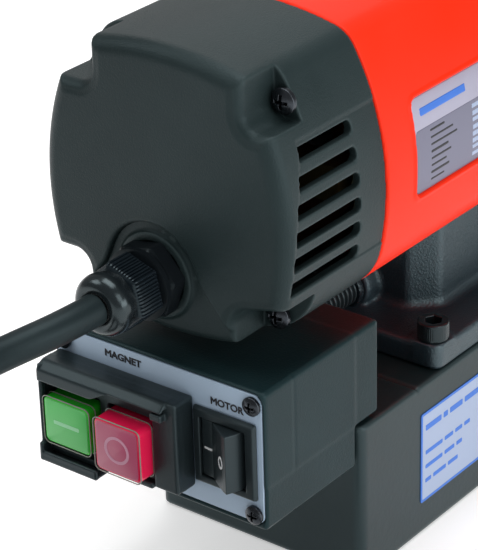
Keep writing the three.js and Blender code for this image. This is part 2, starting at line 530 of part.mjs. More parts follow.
// Magnet switch: hooded housing with two spring-return buttons, each a cap on a narrower stem.
function addMagnetSwitch() {
  const { right, left, low, high, front, floor, hood } = MAGNET_SWITCH;
  const back = BOX.rear - GAP;
  const seat = back - 0.7;
  const housing = join(
    block(front, back, right, left, low, high),
    prism('y', [[front + 1, high], [hood, high - 1.5], [hood, high - 7.8], [front + 1, high - 7.8]],
      right + 5, left),
    block(TRAY.front, floor, TRAY.right, left, TRAY.low, TRAY.high),
    block(floor - 1, back, TRAY.right, left, TRAY.low, low + 1),
    block(back - 1, back + 26, right + 4 + GAP, left - 3 - GAP, low + 3 + GAP, high - 5 - GAP),
  );
  const room = (b, inset, from, to) => block(from, to, b.right + inset - GAP, b.left - inset + GAP,
    b.low + inset - GAP, b.high - inset + GAP);
  const recess = block(front - 6, floor, RED.right - GAP, GREEN.left + GAP, low + 3, high - 8);
  const wells = [GREEN, RED].flatMap((b) => [room(b, 0, floor - 5, seat), room(b, 4, seat - 1, back + 8)]);
  const headRooms = PANEL_SCREWS.map((place) => rod('x', 4.2, back - 2.9, back + 1, place, 12));
  add('magnet_switch', cut(housing, recess, ...wells, ...headRooms), FINISH.blackPlastic);
  const buttons = [['magnet_on_button', GREEN, FINISH.green], ['magnet_off_button', RED, FINISH.red]];
  buttons.forEach(([name, b, finish]) => {
    const capEnd = seat - BUTTON_TRAVEL - 0.2;
    const stem = prism('x', roundedRect(b.right + 4, b.left - 4, b.low + 4, b.high - 4, 1, 2), capEnd - 1,
      back + 8 - BUTTON_TRAVEL - 1);
    const cap = prism('x', roundedRect(b.right, b.left, b.low, b.high, 2, 2), b.face, capEnd);
    add(name, join(cap, stem), finish);
  });
}

// Motor switch: a bezel body and a rocker on an upright pivot.
function addMotorSwitch() {
  const { y, z, halfY, halfZ, proud, pivotX, tilt } = ROCKER;
  const back = BOX.rear - GAP;
  const [openY, openZ] = [9.75, 12.2];
  const body = join(
    block(BOX.rear - proud, back, y - halfY, y + halfY, z - halfZ, z + halfZ),
    block(back - 1, back + 22, y - 11, y + 11, z - 13.5, z + 13.5),
  );
  const well = block(BOX.rear - proud - 1, back + 14, y - openY, y + openY, z - openZ, z + openZ);
  add('motor_switch', cut(body, well), FINISH.blackPlastic);
  const outline = [[-3.2, 0], [-4, 3.5], [-7.2, 8.3], [-1, 9.3], [4.5, 8], [4.5, -8], [-1, -9.3],
    [-7.2, -8.3], [-4, -3.5]];
  const turn = THREE.MathUtils.degToRad(-tilt);
  const tilted = outline.map(([u, v]) => [
    pivotX + u * Math.cos(turn) - v * Math.sin(turn),
    y + u * Math.sin(turn) + v * Math.cos(turn),
  ]);
  add('motor_rocker', prism('z', tilted.reverse(), z - openZ + 0.6, z + openZ - 0.6), FINISH.blackPlastic);
}

// Conduit between the switch box and the frame, and the supply cord with its gland and plug.
function addCables() {
  const end = UPRIGHT.rear + 4;
  const wave = [];
  const start = BOX.front - 4;
  for (let x = start; x < end - 4; x += 4) {
    wave.push([CONDUIT.r - 1.2, x], [CONDUIT.r, x + 1], [CONDUIT.r, x + 3]);
  }
  add('conduit', turned('x', [[CONDUIT.r - 2.5, start], ...wave, [CONDUIT.r - 1.2, end],
    [CONDUIT.r - 2.5, end], [CONDUIT.r - 2.5, start]], [CONDUIT.y, CONDUIT.z], 16), FINISH.rubber);
  const axis = [GLAND.y, GLAND.z];
  const { baseEnd, nutEnd, end: tip, nutR, domeR } = GLAND;
  const bore = CORD_R + GAP;
  const capFace = CAP.rear + 1.2 - GAP;
  add('cable_gland', turned('x', [[bore, tip], [9, tip], [domeR, tip + 4], [domeR, nutEnd], [nutR, nutEnd],
    [nutR, baseEnd], [13.5, baseEnd], [13.5, capFace], [9, capFace], [9, capFace + 14], [bore, capFace + 14],
    [bore, tip]], axis, 20), FINISH.blackPlastic);
  const route = [
    [tip - GAP, 5, 137.7],
    [-193, 5.5, 137.6],
    [-206.5, 9.3, 136.4],
    [-218.7, 15.6, 133.4],
    [-229.6, 23.1, 128.4],
    [-239.2, 31.1, 121.7],
    [-247.9, 38.9, 113.7],
    [-256, 46.2, 104.5],
    [-264.1, 52.3, 94.5],
    [-272.5, 56.8, 84.1],
    [-281.6, 59.3, 73.6],
    [-291.7, 59.5, 63.7],
    [-302.5, 56.9, 55.1],
    [-313.8, 51.7, 48.8],
    [-325.1, 43.9, 45.4],
    [-336, 33.6, 44.5],
    [-342.0, 25.0, 44.1],
    [-346.4, 15.5, 43.8],
  ];
  const curve = new THREE.CatmullRomCurve3(route.map((p) => new THREE.Vector3(...p)));
  const section = new THREE.Shape(Array.from({ length: 10 }, (_, i) => new THREE.Vector2(
    CORD_R * Math.cos((i * Math.PI) / 5), CORD_R * Math.sin((i * Math.PI) / 5))));
  const cord = new THREE.ExtrudeGeometry(section, { steps: 24, extrudePath: curve });
  add('power_cord', toSolid(cord), FINISH.rubber);
  const { x, y, innerR, outerR, height } = COIL_RING;
  add('power_cord_coil', ring('z', innerR, outerR, 0, height, [x, y], 32), FINISH.rubber);
  const { start: boot, y: plugY, z: plugZ, bodyR } = PLUG;
  const pins = [-9.5, 9.5].map((dy) => rod('x', 2.4, boot + 50, boot + 75, [plugY + dy, plugZ], 8));
  const plug = turned('x', [[0, boot], [8, boot], [9.5, boot + 20], [12.5, boot + 23], [bodyR, boot + 32],
    [bodyR, boot + 56], [0, boot + 56]], [plugY, plugZ], 20);
  add('power_plug', join(plug, ...pins), FINISH.rubber);
}

addMagnet();
addFrame();
addMotorHousing();
addRearCap();
addMotor();
addGearCase();
addGearTrain();
addQuill();
addFeed();
addSwitchBox();
addMagnetSwitch();
addMotorSwitch();
addCables();

export default part;
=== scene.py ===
"""Looks of the magnetic drill press: modelled in millimetres in the row frame, stored in metres."""
import json
import math

import bmesh
import bpy
import numpy as np
from mathutils import Matrix, Vector


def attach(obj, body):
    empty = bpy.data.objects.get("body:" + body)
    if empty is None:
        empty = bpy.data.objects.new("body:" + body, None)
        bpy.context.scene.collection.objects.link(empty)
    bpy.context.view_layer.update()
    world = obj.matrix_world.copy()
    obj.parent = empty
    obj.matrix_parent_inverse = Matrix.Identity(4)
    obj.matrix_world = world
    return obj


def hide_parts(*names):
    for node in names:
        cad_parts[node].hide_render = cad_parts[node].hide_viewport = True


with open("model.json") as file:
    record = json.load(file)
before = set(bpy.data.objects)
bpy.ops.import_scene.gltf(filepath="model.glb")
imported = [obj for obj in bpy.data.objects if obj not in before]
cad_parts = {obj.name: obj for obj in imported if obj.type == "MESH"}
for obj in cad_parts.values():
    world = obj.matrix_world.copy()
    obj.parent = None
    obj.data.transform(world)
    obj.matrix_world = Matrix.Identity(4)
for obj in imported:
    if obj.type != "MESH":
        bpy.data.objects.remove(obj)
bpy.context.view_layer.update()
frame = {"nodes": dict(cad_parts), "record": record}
MM = 0.001

# ---- camera and light


def camera_axes(azimuth, elevation, roll):
    """Columns of the camera's rotation: its right, up and backward directions."""
    az, el, turn = (math.radians(v) for v in (azimuth, elevation, roll))
    back = Vector((math.sin(az) * math.cos(el), -math.cos(az) * math.cos(el), math.sin(el)))
    right = Vector((math.cos(az), math.sin(az), 0))
    up = back.cross(right)
    x = math.cos(turn) * right + math.sin(turn) * up
    y = -math.sin(turn) * right + math.cos(turn) * up
    return Matrix((x, y, back)).transposed()


CAMERA_PLACE = (-730.93, -499.82, 526.15)
CAMERA_TURN = (-51.5, 26.75, -1.73)  # azimuth, elevation and roll in degrees
CAMERA_LENS, SENSOR_WIDTH = 157.6, 36


def add_camera():
    data = bpy.data.cameras.new("camera")
    data.lens, data.sensor_width = CAMERA_LENS, SENSOR_WIDTH
    data.clip_start, data.clip_end = 0.05, 50
    camera = bpy.data.objects.new("camera", data)
    camera.matrix_world = Matrix.Translation(Vector(CAMERA_PLACE) * MM) @ camera_axes(*CAMERA_TURN).to_4x4()
    bpy.context.scene.collection.objects.link(camera)
    bpy.context.scene.camera = camera


AIM = (-0.02, 0, 0.12)
LIGHTS = (  # name, place, aim and size in metres, power in watts
    ("key", (-0.35, -1.15, 0.85), AIM, (0.7, 0.6), 3.5),
    ("low side", (0.05, -1.25, 0.32), (0.02, 0, 0.08), (0.9, 0.4), 5),
    ("rear", (-0.62, 0.80, 1.10), AIM, (0.6, 0.6), 4),
    ("top", (0.1, 0.0, 1.5), AIM, (1.0, 1.0), 13),
    ("back", (0.95, 0.78, 0.85), AIM, (0.9, 0.7), 2.0),
)
WORLD_STRENGTH, FLOOR_GLOW = 0.24, 0.42
FLOOR_SIZE, FLOOR_DROP = 12, 0.0004  # metres; the floor lies just under the object


def add_area_light(name, place, aim, size, power):
    data = bpy.data.lights.new(name, "AREA")
    data.shape, data.size, data.size_y = "RECTANGLE", size[0], size[1]
    data.energy = power
    light = bpy.data.objects.new(name, data)
    light.location = place
    light.rotation_euler = (Vector(aim) - Vector(place)).to_track_quat("-Z", "Y").to_euler()
    bpy.context.scene.collection.objects.link(light)


def add_studio():
    scene = bpy.context.scene
    scene.view_settings.view_transform = "Standard"
    world = bpy.data.worlds.new("studio")
    world.use_nodes = True
    world.node_tree.nodes["Background"].inputs["Color"].default_value = (1, 1, 1, 1)
    world.node_tree.nodes["Background"].inputs["Strength"].default_value = WORLD_STRENGTH
    scene.world = world
    for light in LIGHTS:
        add_area_light(*light)
    bpy.ops.mesh.primitive_grid_add(x_subdivisions=8, y_subdivisions=8, size=FLOOR_SIZE,
                                    location=(0, 0, -FLOOR_DROP))
    floor = bpy.context.object
    floor.name = "floor"
    material, _, shader = new_material("floor")
    shader.inputs["Base Color"].default_value = (0.9, 0.9, 0.9, 1)
    shader.inputs["Roughness"].default_value = 0.85
    shader.inputs["Emission Color"].default_value = (1, 1, 1, 1)
    shader.inputs["Emission Strength"].default_value = FLOOR_GLOW
    floor.data.materials.append(material)


# ---- materials


def node(tree, kind, **values):
    made = tree.nodes.new(kind)
    for key, value in values.items():
        if key in made.inputs:
            made.inputs[key].default_value = value
        else:
            setattr(made, key, value)
    return made


def new_material(name):
    material = bpy.data.materials.new(name)
    material.use_nodes = True
    return material, material.node_tree, material.node_tree.nodes["Principled BSDF"]


def ramp(tree, source, low, high, start=0.35, end=0.65):
    """Turns a noise value into a colour between low and high."""
    made = tree.nodes.new("ShaderNodeValToRGB")
    made.color_ramp.elements[0].position, made.color_ramp.elements[1].position = start, end
    made.color_ramp.elements[0].color, made.color_ramp.elements[1].color = (*low, 1), (*high, 1)
    tree.links.new(source, made.inputs["Fac"])
    return made.outputs["Color"]


def finish(name, color, roughness, grain, depth, variation, metallic=0.0, wear=0.0, coat=0.0,
           stretch=(1, 1, 1), specular=0.5, distance=0.0004, sheen_tint=(1, 1, 1)):
    """A surface with fine grain in its bump, blotches in its roughness and colour, and paler edges that are
    partly painted wear and partly a painted highlight.
    """
    material, tree, shader = new_material(name)
    links = tree.links
    space = node(tree, "ShaderNodeTexCoord")
    mapping = node(tree, "ShaderNodeMapping", Scale=stretch)
    links.new(space.outputs["Object"], mapping.inputs["Vector"])
    fine = node(tree, "ShaderNodeTexNoise", Scale=grain, Detail=4.0, Roughness=0.6)
    broad = node(tree, "ShaderNodeTexNoise", Scale=14.0, Detail=5.0, Roughness=0.55)
    links.new(mapping.outputs["Vector"], fine.inputs["Vector"])
    links.new(space.outputs["Object"], broad.inputs["Vector"])
    dark = tuple(c * (1 - variation) for c in color)
    light = tuple(min(1, c * (1 + variation) + 0.004) for c in color)
    tone = ramp(tree, broad.outputs["Fac"], dark, light)
    # Edges found by pointiness are painted paler: partly wear, partly a painted highlight along rounded
    # edges.
    if wear:
        edge = node(tree, "ShaderNodeNewGeometry")
        mask = ramp(tree, edge.outputs["Pointiness"], (0, 0, 0), (wear, wear, wear), 0.505, 0.56)
        mix = node(tree, "ShaderNodeMix", data_type="RGBA")
        links.new(mask, mix.inputs["Factor"])
        links.new(tone, mix.inputs["A"])
        mix.inputs["B"].default_value = (*[min(1, c * 2.6 + 0.03) for c in color], 1)
        tone = mix.outputs["Result"]
    links.new(tone, shader.inputs["Base Color"])
    spread = node(tree, "ShaderNodeMapRange")
    spread.inputs["To Min"].default_value = max(0.02, roughness - 0.07)
    spread.inputs["To Max"].default_value = min(1, roughness + 0.07)
    links.new(broad.outputs["Fac"], spread.inputs["Value"])
    links.new(spread.outputs["Result"], shader.inputs["Roughness"])
    bump = node(tree, "ShaderNodeBump", Strength=depth, Distance=distance)
    links.new(fine.outputs["Fac"], bump.inputs["Height"])
    links.new(bump.outputs["Normal"], shader.inputs["Normal"])
    for socket, value in (("Metallic", metallic), ("Specular IOR Level", specular), ("Coat Weight", coat),
                          ("Specular Tint", (*sheen_tint, 1)), ("Coat Roughness", 0.15)):
        shader.inputs[socket].default_value = value
    return material


COOL = (0.72, 0.94, 1.0)


def cool(*values, **options):
    """A dark finish whose gloss has a cool tint."""
    return finish(*values, sheen_tint=COOL, **options)


LOOKS = {  # material name, colour, roughness, grain, bump depth and variation, then what is special
    "cap": cool("cap_moulding", (0.011, 0.020, 0.021), 0.40, 1500, 0.45, 0.18, wear=0.5, specular=0.24),
    "orange": finish("orange_shell", (0.94, 0.026, 0.004), 0.40, 1100, 0.05, 0.02, specular=0.12),
    "cast": cool("powder_coat", (0.011, 0.021, 0.029), 0.40, 1100, 0.7, 0.2, wear=0.5, distance=0.0005,
        specular=0.95),
    "switch": cool("switch_moulding", (0.012, 0.018, 0.021), 0.34, 1100, 0.12, 0.1, wear=0.3, specular=0.40),
    "magnet": cool("magnet_paint", (0.011, 0.021, 0.023), 0.32, 420, 0.16, 0.18, wear=0.5, specular=0.35),
    "box": cool("box_moulding", (0.007, 0.021, 0.024), 0.32, 1300, 0.30, 0.16, wear=0.3, specular=0.14),
    "hood": cool("hood_moulding", (0.012, 0.019, 0.022), 0.34, 1600, 0.20, 0.12, wear=0.35, specular=0.36),
    "gloss": cool("gloss_black", (0.008, 0.011, 0.013), 0.24, 500, 0.04, 0.10, coat=0.12),
    "nut": cool("nut_black", (0.005, 0.009, 0.013), 0.26, 900, 0.12, 0.2, wear=0.12, specular=0.34),
    "base_nut": cool("gland_black", (0.004, 0.006, 0.008), 0.30, 900, 0.10, 0.2, specular=0.16),
    "rubber": cool("cord_rubber", (0.010, 0.017, 0.019), 0.44, 900, 0.20, 0.14, specular=0.24),
    "panel": finish("panel_print", (0.40, 0.52, 0.66), 0.42, 700, 0.04, 0.04),
    "ink": finish("black_ink", (0.012, 0.012, 0.016), 0.5, 900, 0.03, 0.1),
    "white_ink": finish("white_ink", (0.82, 0.83, 0.84), 0.45, 900, 0.03, 0.04),
    "blue_ink": finish("blue_ink", (0.030, 0.16, 0.62), 0.45, 900, 0.03, 0.06),
    "label": finish("label_film", (0.35, 0.43, 0.60), 0.38, 600, 0.05, 0.02),
    "silver": finish("nameplate", (0.40, 0.39, 0.50), 0.36, 900, 0.06, 0.06, metallic=0.2),
    "plate_grey": finish("nameplate_field", (0.17, 0.17, 0.24), 0.38, 900, 0.05, 0.05, metallic=0.2),
    "screw": finish("blackened_screw", (0.040, 0.046, 0.054), 0.26, 1400, 0.15, 0.25, metallic=0.9, wear=0.7),
    "bolt": cool("socket_bolt", (0.007, 0.010, 0.012), 0.24, 1100, 0.15, 0.2, wear=0.15, specular=0.45),
    "steel": finish("ground_steel", (0.56, 0.57, 0.59), 0.27, 300, 0.10, 0.08, metallic=1.0,
        stretch=(1, 1, 9)),
    "dark_steel": finish("oxide_steel", (0.08, 0.08, 0.085), 0.38, 500, 0.12, 0.2, metallic=1.0),
    "copper": finish("copper_wire", (0.24, 0.08, 0.035), 0.35, 260, 0.5, 0.15, metallic=1.0,
        stretch=(1, 8, 8)),
    "brass": finish("turned_brass", (0.34, 0.24, 0.09), 0.3, 500, 0.08, 0.12, metallic=1.0),
    "carbon": finish("carbon_block", (0.03, 0.03, 0.032), 0.7, 1200, 0.4, 0.12),
    "resin": finish("cast_resin", (0.035, 0.04, 0.034), 0.5, 120, 0.2, 0.12),
    "green": finish("green_button", (0.020, 0.56, 0.020), 0.25, 500, 0.02, 0.08, coat=0.7),
    "green_face": finish("green_button_face", (0.075, 0.60, 0.115), 0.35, 500, 0.02, 0.05, coat=0.3),
    "red": finish("red_button", (0.95, 0.010, 0.085), 0.22, 500, 0.02, 0.10, coat=0.7),
    "red_face": finish("red_button_face", (0.50, 0.075, 0.165), 0.35, 500, 0.02, 0.06, coat=0.3),
    "mint": finish("mint_mark", (0.33, 0.78, 0.42), 0.4, 800, 0.03, 0.03),
    "pink": finish("pink_mark", (0.62, 0.28, 0.40), 0.4, 800, 0.03, 0.03),
    "clear": finish("cover_rim", (0.24, 0.25, 0.22), 0.18, 700, 0.05, 0.25, coat=0.5),
}


# ---- mesh and distance-field kit


def store(name, points, faces, look):
    """Makes an object from points in millimetres, with a surface out of LOOKS."""
    mesh = bpy.data.meshes.new(name)
    mesh.from_pydata((np.asarray(points, float) * MM).tolist(), [], faces)
    mesh.validate()
    mesh.polygons.foreach_set("use_smooth", [True] * len(mesh.polygons))
    mesh.materials.append(LOOKS[look])
    mesh.update()
    made = bpy.data.objects.new(name, mesh)
    bpy.context.scene.collection.objects.link(made)
    return made


def surface(field, low, step):
    """Surface nets: points and quads where the sampled field crosses zero. Inside is negative."""
    inside = field < 0
    size = [n - 1 for n in field.shape]
    corner = [(i, j, k) for i in (0, 1) for j in (0, 1) for k in (0, 1)]
    part = {c: tuple(slice(o, o + n) for o, n in zip(c, size)) for c in corner}
    count = sum(inside[part[c]].astype(np.int8) for c in corner)
    cells = np.argwhere((count > 0) & (count < 8))
    value = {c: field[tuple((cells + c).T)] for c in corner}
    total, hits = np.zeros((len(cells), 3)), np.zeros(len(cells))
    for a in corner:
        for axis in range(3):
            if a[axis]:
                continue
            b = tuple(v + (i == axis) for i, v in enumerate(a))
            crossing = (value[a] < 0) != (value[b] < 0)
            share = value[a] / np.where(crossing, value[a] - value[b], 1)
            point = np.tile(np.array(a, float), (len(cells), 1))
            point[:, axis] += share
            total += point * crossing[:, None]
            hits += crossing
    points = np.array(low) + (cells + total / hits[:, None]) * step
    number = np.full(size, -1, np.int64)
    number[tuple(cells.T)] = np.arange(len(cells))
    faces = []
    for axis in range(3):
        along = [slice(1, -1)] * 3
        along[axis] = slice(0, -1)
        ahead = list(along)
        ahead[axis] = slice(1, None)
        first, second = inside[tuple(along)], inside[tuple(ahead)]
        u, v = [a for a in range(3) if a != axis]
        if axis == 1:
            u, v = v, u
        for flip, where in ((False, first & ~second), (True, second & ~first)):
            at = np.argwhere(where) + [int(a != axis) for a in range(3)]
            ring = []
            for du, dv in ((0, 0), (1, 0), (1, 1), (0, 1)):
                shifted = at.copy()
                shifted[:, u] -= du
                shifted[:, v] -= dv
                ring.append(number[tuple(shifted.T)])
            quads = np.stack(ring[::-1] if flip else ring, 1)
            faces.append(quads)
    faces = np.concatenate(faces)
    return points, faces[(faces >= 0).all(1)].tolist()


def carve(name, low, high, step, shape, look):
    """An object where shape(x, y, z), a signed distance in millimetres, is negative."""
    low = np.array(low, float) - 2 * step
    counts = [int(math.ceil((h + 2 * step - l) / step)) + 1 for l, h in zip(low, high)]
    axes = [(l + step * np.arange(n)).astype(np.float32) for l, n in zip(low, counts)]
    x, y, z = axes[0][:, None, None], axes[1][None, :, None], axes[2][None, None, :]
    field = np.broadcast_to(shape(x, y, z), counts).astype(np.float32)
    points, faces = surface(field, low, step)
    return store(name, points, faces, look)


def corner_join(a, b, r):
    """Intersection of two distances with an edge of radius r."""
    return np.minimum(np.maximum(a, b) + r, 0) + np.hypot(np.maximum(a + r, 0), np.maximum(b + r, 0)) - r


both = np.maximum  # intersection of two distances with a sharp edge


def unite(a, b, r=0.0):
    return np.minimum(a, b) if not r else -corner_join(-a, -b, r)


def keep_out(a, b, r=0.0):
    """a with b taken away."""
    return both(a, -b) if not r else corner_join(a, -b, r)


def rect(u, v, centre, half, r=0.0):
    """Distance to a rectangle with corners of radius r."""
    du, dv = np.abs(u - centre[0]) - (half[0] - r), np.abs(v - centre[1]) - (half[1] - r)
    return np.hypot(np.maximum(du, 0), np.maximum(dv, 0)) + np.minimum(np.maximum(du, dv), 0) - r


def slab(u, low, high):
    return np.maximum(low - u, u - high)


def cuboid(x, y, z, low, high, r=0.0):
    """Distance to a box between two corners, with all its edges rounded."""
    d = [np.abs(p - (a + b) / 2) - ((b - a) / 2 - r) for p, a, b in zip((x, y, z), low, high)]
    outside = np.sqrt(sum(np.maximum(v, 0) ** 2 for v in d))
    return outside + np.minimum(np.maximum(np.maximum(d[0], d[1]), d[2]), 0) - r


def bulge(y, z, section):
    """A bulged section: two side arcs, a top arc and an underside arc, with round upper and lower corners."""
    half_y, side_z, side_r, top, top_r, low, low_r, upper, lower = section
    a, side_y = np.abs(y), half_y - side_r
    ends = both(np.hypot(a, z - (top - top_r)) - top_r, np.hypot(a, z - (low + low_r)) - low_r)
    body = both(np.hypot(a - side_y, z - side_z) - side_r, ends)
    for end_z, end_r, r in ((top - top_r, top_r, upper), (low + low_r, low_r, lower)):
        corner_y, corner_z = arcs_meet((side_y, side_z, side_r - r), (0.0, end_z, end_r - r))
        dy, dz = a - corner_y, z - corner_z
        side_turn = (corner_y - side_y) * dz - (corner_z - side_z) * dy
        end_turn = dy * (corner_z - end_z) - dz * corner_y
        if end_z > side_z:
            side_turn, end_turn = -side_turn, -end_turn
        body = np.where((side_turn > 0) & (end_turn > 0), np.hypot(dy, dz) - r, body)
    return body


def arcs_meet(first, second):
    """Where two circles (y, z, radius) meet, on the side of positive y."""
    (y1, z1, r1), (y2, z2, r2) = first, second
    apart = math.hypot(y2 - y1, z2 - z1)
    along = (apart ** 2 + r1 ** 2 - r2 ** 2) / (2 * apart)
    off = math.sqrt(r1 ** 2 - along ** 2)
    ends = [(y1 + (along * (y2 - y1) - side * off * (z2 - z1)) / apart,
             z1 + (along * (z2 - z1) + side * off * (y2 - y1)) / apart) for side in (1, -1)]
    return max(ends)


MOTOR_SECTION = (55.7, 164.0, 105.0, 227.0, 139.3, 115.4, 125.0, 13.0, 26.0)
CASE_SECTION = (49.9, 166.0, 78.0, 217.9, 100.0, 116.6, 100.0, 14.0, 22.0)


def spot(axis, along, u, v):
    """A point from its place along an axis and its two places across it."""
    point = [u, v]
    point.insert("xyz".index(axis), along)
    return point


def lathe(name, profile, axis, centre, look, sides=64, scallop=None):
    """Turns [radius, along] points about an axis; scallop(angle, index) may scale a radius."""
    rings = []
    for index, (r, along) in enumerate(profile):
        for k in range(sides):
            angle = 2 * math.pi * k / sides
            radius = r * (scallop(angle, index) if scallop else 1)
            rings.append(spot(axis, along, centre[0] + radius * math.cos(angle),
                              centre[1] + radius * math.sin(angle)))
    faces = [[i + k, i + (k + 1) % sides, i + sides + (k + 1) % sides, i + sides + k]
             for i in range(0, (len(profile) - 1) * sides, sides) for k in range(sides)]
    faces.append([*range(sides)][::-1])
    faces.append([(len(profile) - 1) * sides + k for k in range(sides)])
    made = store(name, rings, faces, look)
    clean(made, 38)
    return made


def clean(made, degrees):
    """Merges doubles, turns the normals outwards and marks edges sharper than this as hard."""
    work = bmesh.new()
    work.from_mesh(made.data)
    bmesh.ops.remove_doubles(work, verts=work.verts, dist=1e-7)
    bmesh.ops.recalc_face_normals(work, faces=work.faces)
    work.to_mesh(made.data)
    work.free()
    crease(made, degrees)


def crease(made, degrees):
    """Marks edges sharper than this as hard, so the rest shades smoothly."""
    made.data.set_sharp_from_angle(angle=math.radians(degrees))


def plate(name, outline, low, high, axis, look, bevel=0.0):
    """A flat piece: outline is [u, v] pairs across the axis, from low to high along it."""
    points = [spot(axis, level, u, v) for level in (low, high) for u, v in outline]
    n = len(outline)
    faces = [[k, (k + 1) % n, n + (k + 1) % n, n + k] for k in range(n)]
    faces += [[*range(n)][::-1], [n + k for k in range(n)]]
    made = store(name, points, faces, look)
    clean(made, 35)
    if bevel:
        soften(made, bevel)
        crease(made, 35)
    return made


def soften(made, width):
    modifier = made.modifiers.new("bevel", "BEVEL")
    modifier.width, modifier.segments = width * MM, 2
    modifier.limit_method, modifier.angle_limit = "ANGLE", math.radians(35)
    apply_modifiers(made)


def apply_modifiers(made):
    depsgraph = bpy.context.evaluated_depsgraph_get()
    result = bpy.data.meshes.new_from_object(made.evaluated_get(depsgraph))
    made.modifiers.clear()
    made.data = result
    made.data.polygons.foreach_set("use_smooth", [True] * len(result.polygons))


def round_rect(u0, u1, v0, v1, r, steps=6):
    """Outline of a rectangle with round corners."""
    corners = ((u1 - r, v0 + r, -90), (u1 - r, v1 - r, 0), (u0 + r, v1 - r, 90), (u0 + r, v0 + r, 180))
    points = []
    for u, v, start in corners:
        for i in range(steps + 1):
            angle = math.radians(start + 90 * i / steps)
            points.append((u + r * math.cos(angle), v + r * math.sin(angle)))
    return points


def put(made, slot, *replaced, body="base"):
    """Parents a finished piece to its body's empty and hides the CAD parts that it replaces."""
    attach(made, body)
    if replaced:
        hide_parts(*replaced)
    return made


# ---- cord


CORD_R = 6.0
COIL = {"x": -290.0, "y": -5.0, "inner": 60.0, "outer": 73.0, "pitch": 12.8, "floor": 6.1}
ROUTE = (
    (-178, 5, 137.7), (-193.0, 5.5, 137.6), (-206.5, 9.3, 136.4), (-218.7, 15.6, 133.4),
    (-229.6, 23.1, 128.4), (-239.2, 31.1, 121.7), (-247.9, 38.9, 113.7), (-256.0, 46.2, 104.5),
    (-264.1, 52.3, 94.5), (-272.5, 56.8, 84.1), (-281.6, 59.3, 73.6), (-291.7, 59.5, 63.7),
    (-302.5, 56.9, 55.1), (-313.8, 51.7, 48.8), (-325.1, 43.9, 45.4), (-336.0, 33.6, 44.5),
)
PLUG = {"start": -210.0, "y": -78.0, "z": 15.2}


def coil_path():
    """Down the inner column, outwards at the bottom, up the outer column, then off to the plug."""
    points = []
    start, inner_turns, cross, outer_turns = 140.0, 3.0, 160.0, 1.0 + 330.0 / 360.0
    low, pitch = COIL["floor"], COIL["pitch"]

    def at(degrees, r, z):
        angle = math.radians(degrees)
        points.append((COIL["x"] + r * math.cos(angle), COIL["y"] + r * math.sin(angle), z))

    step = 12.0
    for k in range(1, int(inner_turns * 360 / step) + 1):
        at(start + k * step, COIL["inner"], low + pitch * (inner_turns - k * step / 360))
    for k in range(1, int(cross / 10) + 1):
        share = (1 - math.cos(math.pi * k * 10 / cross)) / 2
        at(start + k * 10, COIL["inner"] + share * (COIL["outer"] - COIL["inner"]), low)
    first = start + cross
    for k in range(1, int(round(outer_turns * 360 / step)) + 1):
        at(first + k * step, COIL["outer"], low + pitch * k * step / 360)
    top = low + pitch * outer_turns
    for k in range(1, 9):
        along = 10.0 * k
        share = (1 - math.cos(math.pi * min(1, max(0, (along - 14) / 66)))) / 2
        points.append((COIL["x"] + along, COIL["y"] - COIL["outer"], top + share * (PLUG["z"] - top)))
    return points


def add_cord():
    points = [*ROUTE, *coil_path()]
    curve = bpy.data.curves.new("supply_cord", "CURVE")
    curve.dimensions, curve.resolution_u = "3D", 6
    curve.bevel_depth, curve.bevel_resolution, curve.use_fill_caps = CORD_R * MM, 8, True
    spline = curve.splines.new("NURBS")
    spline.points.add(len(points) - 1)
    for target, point in zip(spline.points, points):
        target.co = (*[v * MM for v in point], 1)
    spline.order_u, spline.use_endpoint_u = 4, True
    curve.materials.append(LOOKS["rubber"])
    cord = bpy.data.objects.new("supply_cord", curve)
    bpy.context.scene.collection.objects.link(cord)
    put(cord, "rubber", "power_cord", "power_cord_coil")
    plug = add_plug()


def add_plug():
    """A moulded two-pin plug with a ribbed boot and finger grooves."""
    x0, y0, z0 = PLUG["start"], PLUG["y"], PLUG["z"]

    def shape(x, y, z):
        along, dy, dz = x - x0, y - y0, z - z0
        r = np.hypot(dy, dz)
        boot = both(r - (7.6 + along * 0.09), slab(along, 0, 24))
        ribs = both(slab(np.abs((along % 5.0) - 2.5), 0, 0.8), slab(along, 3, 19))
        boot = keep_out(boot, both(ribs, 7.0 + along * 0.09 - r), 0.3)
        body = corner_join(r - 14.6, slab(along, 26, 56), 4)
        neck = both(r - (9.5 + np.clip(along - 20, 0, 9) * 0.45), slab(along, 20, 32))
        grip = np.hypot(np.abs(dy) - 24.5, (along - 41) * 0.75) - 12
        pins = np.hypot(np.abs(dy) - 9.5, dz) - 2.4
        pins = corner_join(pins, slab(along, 50, 74.6), 1.2)
        return unite(unite(keep_out(unite(body, neck, 2), grip, 1.5), boot, 1), pins)

    plug = carve("mains_plug", (x0, y0 - 15, z0 - 15), (x0 + 75, y0 + 15, z0 + 15), 0.6, shape, "rubber")
    plug.data.materials.append(LOOKS["steel"])
    metal = [1 if p.center.x > (x0 + 57) * MM else 0 for p in plug.data.polygons]
    plug.data.polygons.foreach_set("material_index", metal)
    return put(plug, "rubber", "power_plug")


# ---- motor


MOTOR_Z = 170.5
CAP_REAR, CAP_JOINT, CAP_SCREW_SEAT = -146.15, -85.8, -126.4
CAP_SCREWS = ((-41.5, 39.5), (37.5, 43.0), (-37.2, -44.3), (41.5, -41.5))
POCKETS = ((-36.3, 32.6), (30.5, 34.8), (-29.7, -37.5), (36.3, -33.0))
POCKET_SLOPES = (0, 0, 0.255, 0)
GLAND_Y, GLAND_Z = 5.0, 137.6
VENTS = ((193.6, -131.8), (184.0, -134.9), (174.6, -137.8), (165.1, -139.5), (155.8, -140.6), (146.5, -141.0))


